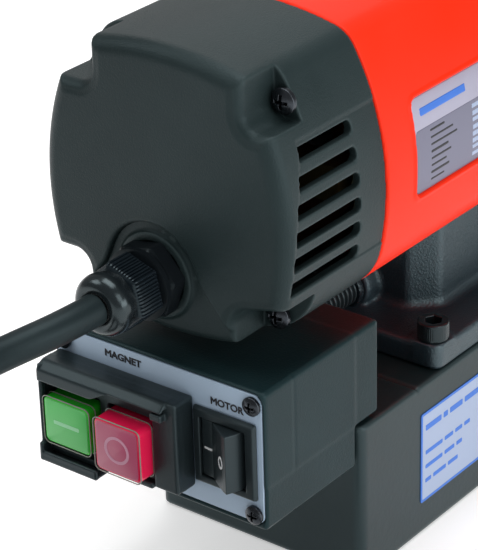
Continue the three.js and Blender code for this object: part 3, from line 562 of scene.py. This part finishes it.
def add_rear_cap():
    def shape(x, y, z):
        v = z - MOTOR_Z
        section = bulge(y, z, MOTOR_SECTION) + 0.1
        body = both(corner_join(section, CAP_REAR - x, 6.5), x - CAP_JOINT)
        inner = corner_join(section + 4, CAP_REAR + 5 - x, 6)
        mouth = np.clip(CAP_REAR + 4.5 - x, 0, 4.5)
        flare = 4.5 - np.sqrt(4.5 ** 2 - mouth ** 2)
        nook = np.float32(99.0)
        for (corner_y, corner_z), slope in zip(POCKETS, POCKET_SLOPES):
            a, b = y * math.copysign(1, corner_y), v * math.copysign(1, corner_z)
            roof = abs(corner_z) - b - slope * (a - abs(corner_y))
            nook = np.minimum(nook, corner_join(abs(corner_y) - a, roof, 6.5))
        inner = keep_out(inner, both(nook - 3.5, x + 122.5))
        body = keep_out(body, inner)
        spigot = both(both(section + 4.4, -section - 7.5), slab(x, -92, -72))
        body = unite(body, spigot)
        for sy, sz in CAP_SCREWS:
            post = both(np.hypot(y - sy, v - sz) - 5.8, slab(x, -126, CAP_JOINT))
            body = unite(body, both(post, section))
        body = keep_out(body, both(nook - flare, x + 126), 0.5)
        a = np.abs(y)
        for height, rear in VENTS:
            slot = rect(x, z, ((rear - 101.2) / 2, height), ((-101.2 - rear) / 2, 2.7), 2.3)
            square = rect(x, z, (rear + 8, height), (8, 2.7), 0.3)
            body = keep_out(body, both(np.minimum(slot, square), 38 - a), 0.3)
        vent_edge = np.interp(z, [row[0] for row in VENTS[::-1]], [row[1] - 0.4 for row in VENTS[::-1]])
        field = both(both(slab(z, 143.3, 198.3), vent_edge - x), -0.45 - section)
        body = keep_out(body, both(field, 20 - a), 0.15)
        around = np.hypot(y - GLAND_Y, z - GLAND_Z)
        skirt = both((np.abs(y - GLAND_Y) - 19.0 - 0.84 * (141.5 - z)) * 0.77, z - 141.5)
        dish = both(unite(around - 20.5, skirt, 3), x - (CAP_REAR + 2.4))
        body = keep_out(body, dish, 1.6)
        collar = both(np.abs(around - 15.0) - 1.6, slab(x, CAP_REAR + 0.8, CAP_REAR + 5))
        body = unite(body, collar, 1.2)
        body = keep_out(body, both(around - 9.5, x + 130))
        return body

    cap = carve("motor_end_cap", (CAP_REAR, -55.7, 113), (-72, 55.7, 227), 0.6, shape, "cap")
    put(cap, "black_plastic", "rear_cap")
    for number, (sy, sz) in enumerate(CAP_SCREWS, 1):
        screw = add_screw(f"cap_screw_head_{number}", (CAP_SCREW_SEAT, sy, MOTOR_Z + sz), 4.9)
        put(screw, "steel", f"cap_screw_{number}")


def add_screw(name, seat, r):
    """A pan head with a cross recess that faces -X."""
    cx, cy, cz = seat
    depth = 0.72 * r

    def shape(x, y, z):
        along, dy, dz = cx - x, y - cy, z - cz
        across = np.hypot(dy, dz)
        dome = np.sqrt(across ** 2 + (along + 0.9 * r) ** 2) - 1.62 * r
        head = corner_join(both(across - r, dome), -along, 0.2)
        reach = 0.62 * r - 0.35 * (depth - along)
        blade_a = both(np.abs(dy) - 0.13 * r, np.abs(dz) - reach)
        blade_b = both(np.abs(dz) - 0.13 * r, np.abs(dy) - reach)
        return keep_out(head, both(np.minimum(blade_a, blade_b), 0.25 * r - along), 0.1)

    return carve(name, (cx - r, cy - r, cz - r), (cx, cy + r, cz + r), 0.14, shape, "screw")


def add_motor_shell():
    def shape(x, y, z):
        section = bulge(y, z, MOTOR_SECTION)
        body = corner_join(section, slab(x, -85.5, 20), 0.6)
        body = keep_out(body, both(section + 4, slab(x, -84.9, 19)))
        a = np.abs(y)
        window = rect(x, z, (-36.2, 172.5), (30.5, 19.0), 3.0)
        floor_depth = -section - 1.7
        body = keep_out(body, both(both(window, floor_depth), 30 - a), 0.7)
        rim = both(corner_join(np.abs(window - 0.8) - 0.8, section - 0.5, 0.4), -section - 3)
        body = unite(body, both(rim, 30 - a), 0.3)
        for k in range(5):
            z0 = MOTOR_Z + (k - 2) * 14
            slot = both(rect(x, z, (8.5, z0), (5.5, 3.0), 2.5), 38 - a)
            body = keep_out(body, slot, 0.8)
        return body

    shell = carve("motor_shell", (-85.5, -56.3, 113), (20, 56.3, 227), 0.7, shape, "orange")
    put(shell, "orange", "motor_housing")


def plate_piece(name, x0, x1, z0, z1, r, low, high, step, look):
    """A thin piece that follows the shell's right side, between two depths under its surface."""
    def shape(x, y, z):
        section = bulge(y, z, MOTOR_SECTION)
        depth = both(section + low, -section - high)
        outline = rect(x, z, ((x0 + x1) / 2, (z0 + z1) / 2), ((x1 - x0) / 2, (z1 - z0) / 2), r)
        return both(both(outline, depth), y)

    made = carve(name, (x0, -55.5, z0), (x1, -48, z1), step, shape, look)
    return put(made, "panel")


def add_nameplate():
    """A blank rating plate: a header band, a grey field with plain rules and a column of pale boxes."""
    plate_piece("rating_plate", -65.6, -6.4, 153.8, 190.9, 3.0, 1.0, 2.2, 0.4, "silver")
    plate_piece("rating_plate_field", -65.6, -6.8, 153.8, 179.0, 2.6, 0.90, 2.1, 0.35, "plate_grey")
    plate_piece("rating_plate_header", -61.0, -31.0, 183.2, 186.4, 0.4, 0.86, 2.0, 0.35, "blue_ink")
    for k, wide in enumerate((8.0, 12.5, 14.5, 9.5, 11.0, 8.5, 10.0, 7.5)):
        z0 = 176.6 - 2.75 * k
        plate_piece(f"rating_plate_rule_{k}", -56.2, -56.2 + 1.2 * wide, z0 - 0.5, z0 + 0.5, 0.2,
                    0.80, 2.0, 0.25, "ink")
        plate_piece(f"rating_plate_box_{k}", -28.6, -9.0, z0 - 1.0, z0 + 1.0, 0.2, 0.84, 2.0, 0.35,
                    "label")


def hexagon(angle, flat=0.885):
    """Relative radius of a hexagon with rounded corners; flat is the distance to its faces."""
    turn = angle % (math.pi / 3) - math.pi / 6
    return min(1.0, flat / math.cos(turn))


def add_gland():
    centre = (GLAND_Y, GLAND_Z)
    profile = [(12.4, -145.0), (14.8, -145.4), (14.8, -151.2), (13.6, -152.0), (13.0, -152.4), (13.9, -152.7),
               (13.9, -154.6), (12.6, -155.0)]
    base = lathe("gland_base", profile, "x", centre, "base_nut", 144,
                 lambda angle, i: hexagon(angle + 0.2) if i < 4 else 1)
    put(base, "black_plastic", "cable_gland")

    def ribbed(angle, index):
        inside = 1 < index < 6
        groove = 0.045 if math.cos(60 * angle) < 0 and inside else 0
        return hexagon(angle - math.radians(18), 0.872) * (1 - groove)

    nut = lathe("gland_nut", [(12.2, -155.1), (12.9, -155.4), (13.5, -156.2), (13.5, -157.0), (13.5, -165.2),
                              (13.4, -166.2), (13.0, -167.2), (11.9, -167.9)], "x", centre, "nut",
                480, ribbed)
    put(nut, "black_plastic")
    arc = [(7.6 + 4.2 * math.sin(math.radians(a)), -172.4 - 5.4 * math.cos(math.radians(a)))
           for a in range(104, -70, -8)]
    dome = lathe("gland_dome", [(10.8, -166.0), (10.8, -169.6), *arc, (6.4, -174.0)], "x", centre,
                 "gloss", 72)
    put(dome, "black_plastic")


# ---- frame, magnet, gear case

MAGNET_TOP, FOOT, SPINDLE_X = 67.5, 67.8, 128
FEED_X, FEED_Z = 92.2, 88.0
CONDUIT = (3, 85)
FLANGE = ((14.7, 0), (57, 49.4), 4.5)


def add_magnet():
    def shape(x, y, z):
        block = corner_join(rect(x, y, (0, 0), (95, 50), 4), slab(z, 0, MAGNET_TOP), 1.0)
        trough = both(rect(x, y, (0, 0), (75, 36), 3), -rect(x, y, (0, 0), (55, 16), 2))
        block = keep_out(block, both(trough, z - 14), 0.8)
        seam = both(slab(x, -57.3, -56.5), 66.7 - z)
        return keep_out(block, seam)

    magnet = carve("magnet_block", (-95, -50, 0), (95, 50, MAGNET_TOP), 1.0, shape, "magnet")
    put(magnet, "black_paint", "magnet_body")
    label = plate("magnet_label", round_rect(-54.6, 25.4, 14.6, 54.7, 1.5), -50.25, -49.9, "y", "label")
    put(label, "panel")
    put(frame_plate("magnet_label_rim", (-54.7, 25.5, 14.5, 54.8), 1.1, -50.32, -50.0, "blue_ink"), "panel")
    rows = ((47.6, 1.25, (11, 3, 9, 14, 6)), (36.4, 0.9, (12, 6, 5, 4)), (30.0, 0.9, (12, 7, 4)),
            (23.6, 0.9, (4, 9, 7)))
    for number, (z0, half, words) in enumerate(rows):
        start = -51.5
        for place, wide in enumerate(words):
            bar = plate(f"magnet_label_rule_{number}_{place}",
                        round_rect(start, start + wide, z0 - half, z0 + half, 0.4), -50.32, -50.0, "y",
                        "blue_ink")
            put(bar, "panel")
            start += wide + 1.6


def frame_plate(name, box, wide, low, high, look):
    """A thin rectangular outline across Y."""
    x0, x1, z0, z1 = box
    outer = round_rect(x0, x1, z0, z1, 1.0)
    inner = round_rect(x0 + wide, x1 - wide, z0 + wide, z1 - wide, 0.5)
    n = len(outer)
    points = [(u, y, v) for y in (low, high) for loop in (outer, inner) for u, v in loop]
    faces = []
    for k in range(n):
        m = (k + 1) % n
        faces.append([k, m, n + m, n + k])
        faces.append([2 * n + k, 3 * n + k, 3 * n + m, 2 * n + m])
        faces.append([k, 2 * n + k, 2 * n + m, m])
        faces.append([n + k, n + m, 3 * n + m, 3 * n + k])
    made = store(name, points, faces, look)
    clean(made, 35)
    return made


def add_frame():
    def shape(x, y, z):
        flange = corner_join(rect(x, y, *FLANGE), slab(z, FOOT, 78), 1.8)
        chamfer = (10.0 - (x + 20) - (29.4 - np.abs(y))) * 0.707
        upright = corner_join(rect(x, y, (25.85, 0), (45.85, 29.4), 1.5), chamfer, 1.2)
        upright = corner_join(upright, slab(z, FOOT, 119), 1.5)
        seat = unite(both(bulge(y, z, MOTOR_SECTION), x - 20.4),
                     both(bulge(y, z, CASE_SECTION), 20 - x))
        upright = keep_out(upright, seat - 0.4)
        boss = corner_join(np.hypot(y - CONDUIT[0], z - CONDUIT[1]) - 9.9, slab(x, -28.7, -10), 1.5)
        body = unite(unite(flange, upright, 4), boss, 2.5)
        body = keep_out(body, cuboid(x, y, z, (-13.6, -23, 60), (65.4, 23, 106.4), 2))
        body = keep_out(body, both(np.hypot(y - CONDUIT[0], z - CONDUIT[1]) - 7.3, x + 5))
        for bx, by, _ in FRAME_BOLTS:
            pad = corner_join(np.hypot(x - bx, y - by) - 8.6, slab(z, 70, 78.6), 0.6)
            body = unite(body, both(pad, rect(x, y, *FLANGE)), 1.0)
        return body

    casting = carve("frame_cast", (-42.3, -49.4, FOOT), (71.7, 49.4, 119), 0.9, shape, "cast")
    put(casting, "black_paint", "frame_casting")
    for number, place in enumerate(FRAME_BOLTS, 1):
        put(add_socket_bolt(f"foot_bolt_{number}", place), "dark_steel", f"frame_bolt_{number}")


FRAME_BOLTS = ((-35.35, -42.6, 78.6), (-35.35, 42.6, 78.6), (58.0, -42.6, 78.6), (58.0, 42.6, 78.6))


def hexagon_socket(across, angle, half):
    """Distance to a hexagon prism that is half wide to each flat."""
    return across * np.cos((angle + math.pi / 6) % (math.pi / 3) - math.pi / 6) - half


def add_socket_bolt(name, place):
    bx, by, bz = place

    def shape(x, y, z):
        dx, dy, up = x - bx, y - by, z - bz
        across, angle = np.hypot(dx, dy), np.arctan2(dy, dx)
        knurl = 0.07 * np.cos(48 * angle) * (slab(up, 1.4, 6.4) < 0)
        head = corner_join(across - 6.3 + knurl, slab(up, 0, 7.7), 0.6)
        return keep_out(head, both(hexagon_socket(across, angle, 3.2), 3.6 - up), 0.25)

    return carve(name, (bx - 6.5, by - 6.5, bz), (bx + 6.5, by + 6.5, bz + 7.7), 0.22, shape, "bolt")


def add_gear_case():
    def shape(x, y, z):
        section = bulge(y, z, CASE_SECTION)
        flange = corner_join(section, slab(x, 20.3, 32), 1.5)
        rear = unite(corner_join(section + 2.4, slab(x, 20.3, 92), 3), flange, 1.5)
        head_z = slab(z, 118, 218.8)
        across = np.hypot(x - SPINDLE_X, y)
        head = corner_join(across - 45.9, head_z, 4)
        neck = corner_join(rect(x, y, (99, 0), (29, 45.9), 8), slab(z, 118, 214), 3.5)
        groove = both(slab(z, 213.7, 214.5), 45.2 - across)
        nose = corner_join(across - 35.9, slab(z, 50, 124), 1.6)
        foot = corner_join(rect(x, y, (103, 0), (31, 35.9), 5), slab(z, 68.4, 124), 2)
        body = unite(unite(unite(head, neck, 4), rear, 5), unite(nose, foot, 3), 6)
        body = keep_out(body, groove)
        lip = corner_join(across - 38, 217.8 - z, 0.8)
        body = keep_out(body, both(lip, 28 - across), 0.6)
        bearing = corner_join(np.hypot(x - FEED_X, z - FEED_Z) - 13.5, np.abs(y) - 38, 1.0)
        body = unite(body, bearing, 2)
        shaft = both(np.hypot(x - FEED_X, z - FEED_Z) - 10.8, 28 - np.abs(y))
        body = keep_out(body, shaft)
        quill_bore = both(across - 22.3, z - 128)
        body = keep_out(body, quill_bore, 0.8)
        chamber = both(across - 30, slab(z, 132, 205))
        return keep_out(body, chamber)

    case = carve("gear_case_body", (20.3, -49.9, 50), (174, 49.9, 219), 1.1, shape, "cast")
    put(case, "black_paint", "gear_case", "gear_case_cover")
    for k in range(4):
        angle = math.radians(45 + 90 * k)
        place = (SPINDLE_X + 40.5 * math.cos(angle), 40.5 * math.sin(angle), 217.6)
        put(add_cover_screw(f"cover_screw_{k + 1}", place), "dark_steel")


def add_cover_screw(name, place):
    """A low button head with a hexagon socket, let into the cover's rim."""
    cx, cy, cz = place

    def shape(x, y, z):
        dx, dy, up = x - cx, y - cy, z - cz
        across, angle = np.hypot(dx, dy), np.arctan2(dy, dx)
        head = both(np.sqrt(across ** 2 + (up + 4.2) ** 2) - 5.4, -up - 0.6)
        return keep_out(head, both(hexagon_socket(across, angle, 1.5), 0.2 - up), 0.1)

    return carve(name, (cx - 4, cy - 4, cz - 0.6), (cx + 4, cy + 4, cz + 1.2), 0.2, shape, "bolt")


def add_spindle():
    def shape(x, y, z):
        across = np.hypot(x - SPINDLE_X, y)
        nose = corner_join(across - 17.4, slab(z, 44.1, 72), 1.2)
        nose = unite(nose, both(across - 14.5, slab(z, 70, 77)), 1)
        journal = both(across - 9.9, slab(z, 72, 128))
        shaft = both(across - 7.9, slab(z, 126, 186))
        body = unite(unite(nose, journal), shaft)
        body = keep_out(body, both(across - 9.55, z - 72), 0.8)
        for height in (50.0, 66.0):
            ring = np.hypot(across - 17.6, z - height) - 0.5
            body = keep_out(body, ring)
        holes = np.hypot(y, z - 58) - 4
        body = keep_out(body, holes, 0.5)
        socket = both(np.hypot(y, z - 58) - 3.7, np.abs(np.abs(x - SPINDLE_X) - 12.8) - 2.6)
        recess = both(both(np.abs(y), np.abs(z - 58)) - 1.5, 13.5 - np.abs(x - SPINDLE_X))
        return unite(body, keep_out(socket, recess))

    spindle = carve("arbor_nose", (110.5, -17.5, 44), (145.5, 17.5, 186), 0.6, shape, "steel")
    put(spindle, "steel", "spindle", body="arbor_spindle")


def add_feed():
    """The lever leans back at rest, so it is built upright and then turned."""
    centre = Vector((FEED_X, 0, FEED_Z)) * MM
    y0 = -64.0

    def lever_shape(x, y, z):
        r = np.hypot(x, z)
        hub = corner_join(r - 18.8, np.abs(y - y0) - 6.9, 1.6)
        ring = both(np.abs(r - 14.2) - 0.5, y0 - 6.3 - y)
        taper = 9.0 - 2.5 * np.clip((z - 12) / 76, 0, 1)
        arm = corner_join(np.abs(x) - taper, np.abs(y - y0) - 3.9, 1.4)
        arm = both(arm, slab(z, 5, 88))
        pocket = both(both(np.abs(x) - (taper - 3.2), slab(z, 26, 78)), 2.6 - np.abs(y - y0))
        arm = keep_out(arm, pocket, 0.6)
        stem = both(np.hypot(x, y - y0) - 4.9, slab(z, 84, 145.8))
        body = unite(unite(hub, arm, 3), stem, 1.5)
        body = keep_out(body, both(ring, y - (y0 - 6.3)))
        return keep_out(body, both(r - 7.3, np.abs(y - y0) - 9), 0.6)

    def grip_shape(x, y, z):
        r = np.hypot(x, y - y0)
        swell = 10.2 + 1.1 * np.sin((z - 88) / 62 * 2 * math.pi * 0.9 + 4.9)
        grooves = 0.35 * np.cos(2 * math.pi * (z - 88) / 5.2) * (slab(z, 97, 141) < 0)
        body = corner_join(r - swell + grooves, slab(z, 88.3, 150), 3.0)
        return keep_out(body, both(r - 5.3, z - 146.5))

    turn = Matrix.Translation(centre) @ Matrix.Rotation(math.radians(-20), 4, "Y")
    lever = carve("lever_arm", (-19, y0 - 7, -19), (19, y0 + 7, 146), 0.7, lever_shape, "steel")
    grip = carve("lever_grip", (-12, y0 - 12, 88), (12, y0 + 12, 150), 0.6, grip_shape, "rubber")
    for made, slot, replaced in ((lever, "steel", "feed_lever"), (grip, "rubber", "feed_grip")):
        made.data.transform(turn)
        put(made, slot, replaced, body="feed_handle")


def add_conduit():
    profile = []
    for k in range(0, 229):
        x = -85.6 + 0.3 * k
        rib = math.cos(2 * math.pi * x / 2.7)
        profile.append((6.2 + 0.75 * math.copysign(abs(rib) ** 0.5, rib), x))
    hose = lathe("wiring_conduit", profile, "x", CONDUIT, "switch", 40)
    put(hose, "rubber", "conduit")
    profile = [(7.2, -32.0), (8.2, -31.8), (8.5, -31.2), (8.5, -29.2), (7.2, -29.0)]
    collar = lathe("conduit_collar", profile, "x", CONDUIT, "nut", 60,
                   lambda angle, i: 1 - 0.03 * (math.cos(24 * angle) > 0))
    put(collar, "rubber")


# ---- switch box


BOX_REAR = -152.6
PANEL_SCREWS = ((-44.1, 103.3), (44.1, 103.3), (-44.1, 58.3), (44.1, 58.3))


def add_switch_box():
    def shape(x, y, z):
        tall = cuboid(x, y, z, (BOX_REAR, -49, 52.2), (-96.4, 49, 108.8), 1.6)
        wide = cuboid(x, y, z, (BOX_REAR, -49, 69.4), (-81.8, 49, 108.8), 1.6)
        body = unite(tall, wide, 0.8)
        seam = both(slab(x, -134.95, -134.65), -unite(tall, wide) - 0.5)
        body = keep_out(body, seam)
        window = both(rect(y, z, (0, 81.15), (48.1, 26.65), 3.2), x - (BOX_REAR + 2.2))
        body = keep_out(body, window, 0.3)
        hollow = cuboid(x, y, z, (-150.2, -45, 73), (-85, 45, 105), 1)
        body = keep_out(body, hollow)
        well = rect(y, z, (ROCKER_Y - 0.6, ROCKER_Z), (10.9, 12.9), 0.5)
        body = keep_out(body, both(well, x - (BOX_REAR + 9.5)))
        return keep_out(body, both(np.hypot(y - CONDUIT[0], z - CONDUIT[1]) - 7.3, slab(x, -90, -80)))

    box = carve("switch_box_shell", (BOX_REAR, -49, 52.2), (-81.8, 49, 108.8), 0.8, shape, "box")
    put(box, "black_plastic", "switch_box", "switch_box_rear_frame")
    panel = plate("front_panel", round_rect(-47.8, 47.8, 54.8, 107.5, 3), BOX_REAR + 0.1, BOX_REAR + 1.8, "x",
                  "panel", 0.25)
    hole = plate("hole", round_rect(ROCKER_Y - 11.5, ROCKER_Y + 10.3, ROCKER_Z - 12.9, ROCKER_Z + 12.9, 0.5),
                 BOX_REAR - 1, BOX_REAR + 3, "x", "panel")
    cut = panel.modifiers.new("hole", "BOOLEAN")
    cut.object, cut.operation, cut.solver = hole, "DIFFERENCE", "EXACT"
    bpy.context.view_layer.update()
    apply_modifiers(panel)
    crease(panel, 35)
    bpy.data.objects.remove(hole)
    put(panel, "panel", "switch_panel")
    for number, (sy, sz) in enumerate(PANEL_SCREWS, 1):
        screw = add_screw(f"panel_screw_head_{number}", (BOX_REAR - 0.02, sy, sz), 3.7)
        put(screw, "dark_steel", f"panel_screw_{number}")
    add_word("magnet_word", "MAGNET", 15.7, 103.5, 17.4)
    add_word("motor_word", "MOTOR", -32.4, 99.3, 15.0)


def add_word(name, word, y, z, wide):
    """Plain raised print on the panel, read from behind the machine; y is the middle of the word."""
    text = bpy.data.curves.new(name, "FONT")
    text.body, text.align_x, text.align_y = word, "CENTER", "CENTER"
    text.size, text.extrude, text.bevel_depth, text.bevel_resolution = 5 * MM, 0.02 * MM, 0.18 * MM, 0
    made = bpy.data.objects.new(name, text)
    bpy.context.scene.collection.objects.link(made)
    bpy.context.view_layer.update()
    stretch = wide * MM / made.dimensions.x
    tall = 3.0 * MM / made.dimensions.y
    mesh = bpy.data.meshes.new_from_object(made.evaluated_get(bpy.context.evaluated_depsgraph_get()))
    bpy.data.objects.remove(made)
    facing = Matrix(((0, 0, -1, (BOX_REAR - 0.02) * MM), (-1, 0, 0, y * MM), (0, 1, 0, z * MM), (0, 0, 0, 1)))
    mesh.transform(facing @ Matrix.Diagonal((stretch, tall, 1, 1)))
    mesh.materials.clear()
    mesh.materials.append(LOOKS["ink"])
    made = bpy.data.objects.new(name, mesh)
    bpy.context.scene.collection.objects.link(made)
    put(made, "panel")


def hood_edge(y):
    """Height of the hood's front lip: low over the green button, then a smooth step up."""
    t = np.clip((22.0 - y) / 11.0, 0, 1)
    return 91.2 + 4.6 * t * t * (3 - 2 * t)


HOOD_BLOCKS = (  # low corner, high corner and edge radius
    ((-160.4, -17, 61.3), (-152.9, 46.5, 98.6), 1.0),  # base
    ((-163.3, -17, 61.3), (-152.9, -5.8, 98.6), 1.0),  # right wall
    ((-163.3, -17, 94), (-152.9, 46.5, 98.8), 0.8),  # roof
    ((-166.4, 45.0, 62.5), (-152.9, 46.5, 98), 0.7),  # left wall
    ((-168.0, 18.5, 57.6), (-156.0, 46.0, 59.3), 0.7),  # tray
    ((-168.0, 18.5, 57.6), (-166.4, 46.0, 61.6), 0.7),  # its lip
    ((-163.5, -5, 60.0), (-156.0, 46.0, 62.6), 0.8),  # web
    ((-168.0, 44.5, 57.6), (-156.0, 46.4, 65.0), 0.7),  # its side
    ((-166.4, -12.6, 91.6), (-160, -7.4, 94.6), 0.5),  # tab
)


def add_magnet_switch():
    def shape(x, y, z):
        hood = corner_join(cuboid(x, y, z, (-167.0, -13, 86), (-158, 46.5, 98.8), 0.7),
                           -(x + 165.4) * 0.64 + (z - 97.2) * 0.77, 0.6)
        hood = both(hood, hood_edge(y) - z)
        hood = keep_out(hood, cuboid(x, y, z, (-165.2, -13.5, 80), (-157, 45.2, 96.6), 0.5))
        pieces = [cuboid(x, y, z, *block) for block in HOOD_BLOCKS]
        pieces.insert(3, hood)
        body = pieces[0]
        for piece in pieces[1:]:
            body = unite(body, piece, 0.5)
        for y0, y1 in ((21.4, 45.6), (-5.9, 17.4)):
            well = cuboid(x, y, z, (-164, y0, 64.2), (-153.6, y1, 88.0), 1)
            body = keep_out(body, well, 0.3)
        heads = both(np.hypot(np.abs(y) - 44.1, z - 58.3) - 4.2, -156 - x)
        return keep_out(body, heads)

    hood = carve("magnet_switch_hood", (-168, -17, 57.6), (-152.9, 46.5, 98.8), 0.4, shape, "hood")
    put(hood, "black_plastic", "magnet_switch")
    add_push_button("start_button", "on", (21.8, 45.2, 65.0, 85.6), -166.2, "green")
    add_push_button("stop_button", "off", (-5.5, 17.0, 64.7, 87.5), -170.0, "red")


DRAFT = 0.015


def add_push_button(name, action, box, face, colour):
    """A coloured cap with a paler face under a clear cover, of which the edges show."""
    y0, y1, z0, z1 = box
    body = f"{action}_button"
    middle = ((y0 + y1) / 2, (z0 + z1) / 2)
    half = ((y1 - y0) / 2, (z1 - z0) / 2)

    def shape(x, y, z):
        front = rect(y, z, middle, (half[0] - 0.5, half[1] - 0.5), 2.4)
        block = corner_join(front - DRAFT * (x - face), slab(x, face + 0.3, -156.8), 0.9)
        stem = both(rect(y, z, middle, (half[0] - 4, half[1] - 4), 1), slab(x, -160, -150))
        return unite(block, stem)

    button = carve(name, (face, y0, z0), (-150, y1, z1), 0.3, shape, colour)
    put(button, colour, f"magnet_{action}_button", body=body)
    outline = round_rect(y0 + 1.5, y1 - 1.5, z0 + 1.5, z1 - 1.5, 1.8)
    front = plate(name + "_face", outline, face + 0.12, face + 0.6, "x", colour + "_face", 0.1)
    put(front, colour, body=body)

    def rims(x, y, z):
        edge = rect(y, z, middle, half, 2.6)
        front_rim = np.hypot(edge + 0.25, x - face - 0.25) - 0.25
        back_rim = both(np.abs(edge + 0.12) - 0.22, np.abs(x + 162.5) - 0.15)
        return np.minimum(front_rim, back_rim)

    rim = carve(name + "_rim", (face - 0.2, y0 - 0.3, z0 - 0.3), (-161, y1 + 0.3, z1 + 0.3), 0.2, rims,
                "clear")
    put(rim, colour, body=body)
    my, mz = middle

    def ring(x, y, z):
        return both(np.abs(np.hypot((y - my) * 0.95, z - mz) - 5.0) - 0.6, slab(x, face, face + 0.3))

    if colour == "green":
        outline = round_rect(my - 6.2, my + 6.2, mz - 0.8, mz + 0.8, 0.4)
        mark = plate(name + "_bar", outline, face, face + 0.3, "x", "mint")
    else:
        mark = carve(name + "_ring", (face - 0.1, my - 7, mz - 7), (face + 0.3, my + 7, mz + 7), 0.12, ring,
                     "pink")
    put(mark, colour, body=body)


ROCKER_Y, ROCKER_Z = -30.75, 79.8
ROCKER_REACH = (-9.3, -6.6, -4.45, 0.65, 4.0, 9.6)
ROCKER_PROUD = (2.1, 8.1, 7.2, 4.1, 1.7, 1.1)


def rocker_front(v):
    """Row X of the rocker's front at v from its middle: sunk on the left, raised on the right."""
    return BOX_REAR - np.interp(v, ROCKER_REACH, ROCKER_PROUD)


def add_motor_switch():
    cy, cz = ROCKER_Y, ROCKER_Z

    def bezel(x, y, z):
        outline = rect(y, z, (-31.7, 80.1), (14.1, 15.8), 1.0)
        slope = (outline + 0.55 * (BOX_REAR - 0.8 - x)) * 0.88
        body = corner_join(both(outline, slope), slab(x, BOX_REAR - 2.2, BOX_REAR - 0.1), 0.4)
        return keep_out(body, rect(y, z, (cy - 0.55, cz), (10.3, 12.25), 0.5), 0.35)

    frame_part = carve("rocker_bezel", (BOX_REAR - 2.2, -46, 64), (BOX_REAR, -17, 96), 0.25, bezel,
                       "switch")
    put(frame_part, "black_plastic", "motor_switch")
    back = plate("rocker_well", round_rect(cy - 11.4, cy + 10.2, cz - 12.8, cz + 12.8, 0.5), BOX_REAR + 8.6,
                 BOX_REAR + 9.4, "x", "switch")
    put(back, "black_plastic")

    def rocker(x, y, z):
        block = corner_join(rect(y, z, (cy, cz), (9.35, 11.9), 0.5), x - (BOX_REAR + 4), 0.5)
        block = both(block, (cy - 9.35 - 0.2 * (x - BOX_REAR) - y) * 0.98)
        front = rocker_front(y - cy)
        return corner_join(block, (front - x) * 0.80, 0.45)

    key = carve("rocker_key", (BOX_REAR - 9, cy - 9.4, cz - 12), (BOX_REAR + 4, cy + 9.4, cz + 12), 0.25,
                rocker, "switch")
    put(key, "black_plastic", "motor_rocker", body="rocker")


def add_rocker_marks():
    cy, cz = ROCKER_Y, ROCKER_Z

    def print_on_key(x, y):
        return np.abs(x - rocker_front(y - cy) + 0.05) - 0.2

    def bar(x, y, z):
        return both(rect(y, z, (cy + 6.2, cz), (1.9, 0.42)), print_on_key(x, y))

    def ring(x, y, z):
        loop = np.abs(np.hypot((y - cy + 3.0) * 1.5, z - cz + 0.4) - 2.1) - 0.4
        return both(loop, print_on_key(x, y))

    for name, shape, low, high in (("rocker_bar", bar, (-156.5, cy + 4, cz - 1), (-153, cy + 8.5, cz + 1)),
                                   ("rocker_ring", ring, (-162, cy - 6, cz - 3.5), (-154, cy, cz + 3))):
        put(carve(name, low, high, 0.1, shape, "white_ink"), "black_plastic", body="rocker")


# ---- carried-over CAD nodes


def dress_cad_nodes():
    """Every CAD node that still shows gets the surface of its material slot."""
    other = {"black_paint": "cast", "black_plastic": "box"}
    for part in frame["record"]["subparts"]:
        shown = frame["nodes"][part["node"]]
        shown.data.materials.clear()
        slot = part["material_slot"]
        shown.data.materials.append(LOOKS[other.get(slot, slot)])


def main():
    add_camera()
    add_studio()
    dress_cad_nodes()
    add_cord()
    add_rear_cap()
    add_motor_shell()
    add_nameplate()
    add_gland()
    add_magnet()
    add_frame()
    add_gear_case()
    add_spindle()
    add_feed()
    add_conduit()
    add_switch_box()
    add_magnet_switch()
    add_motor_switch()
    add_rocker_marks()


main()
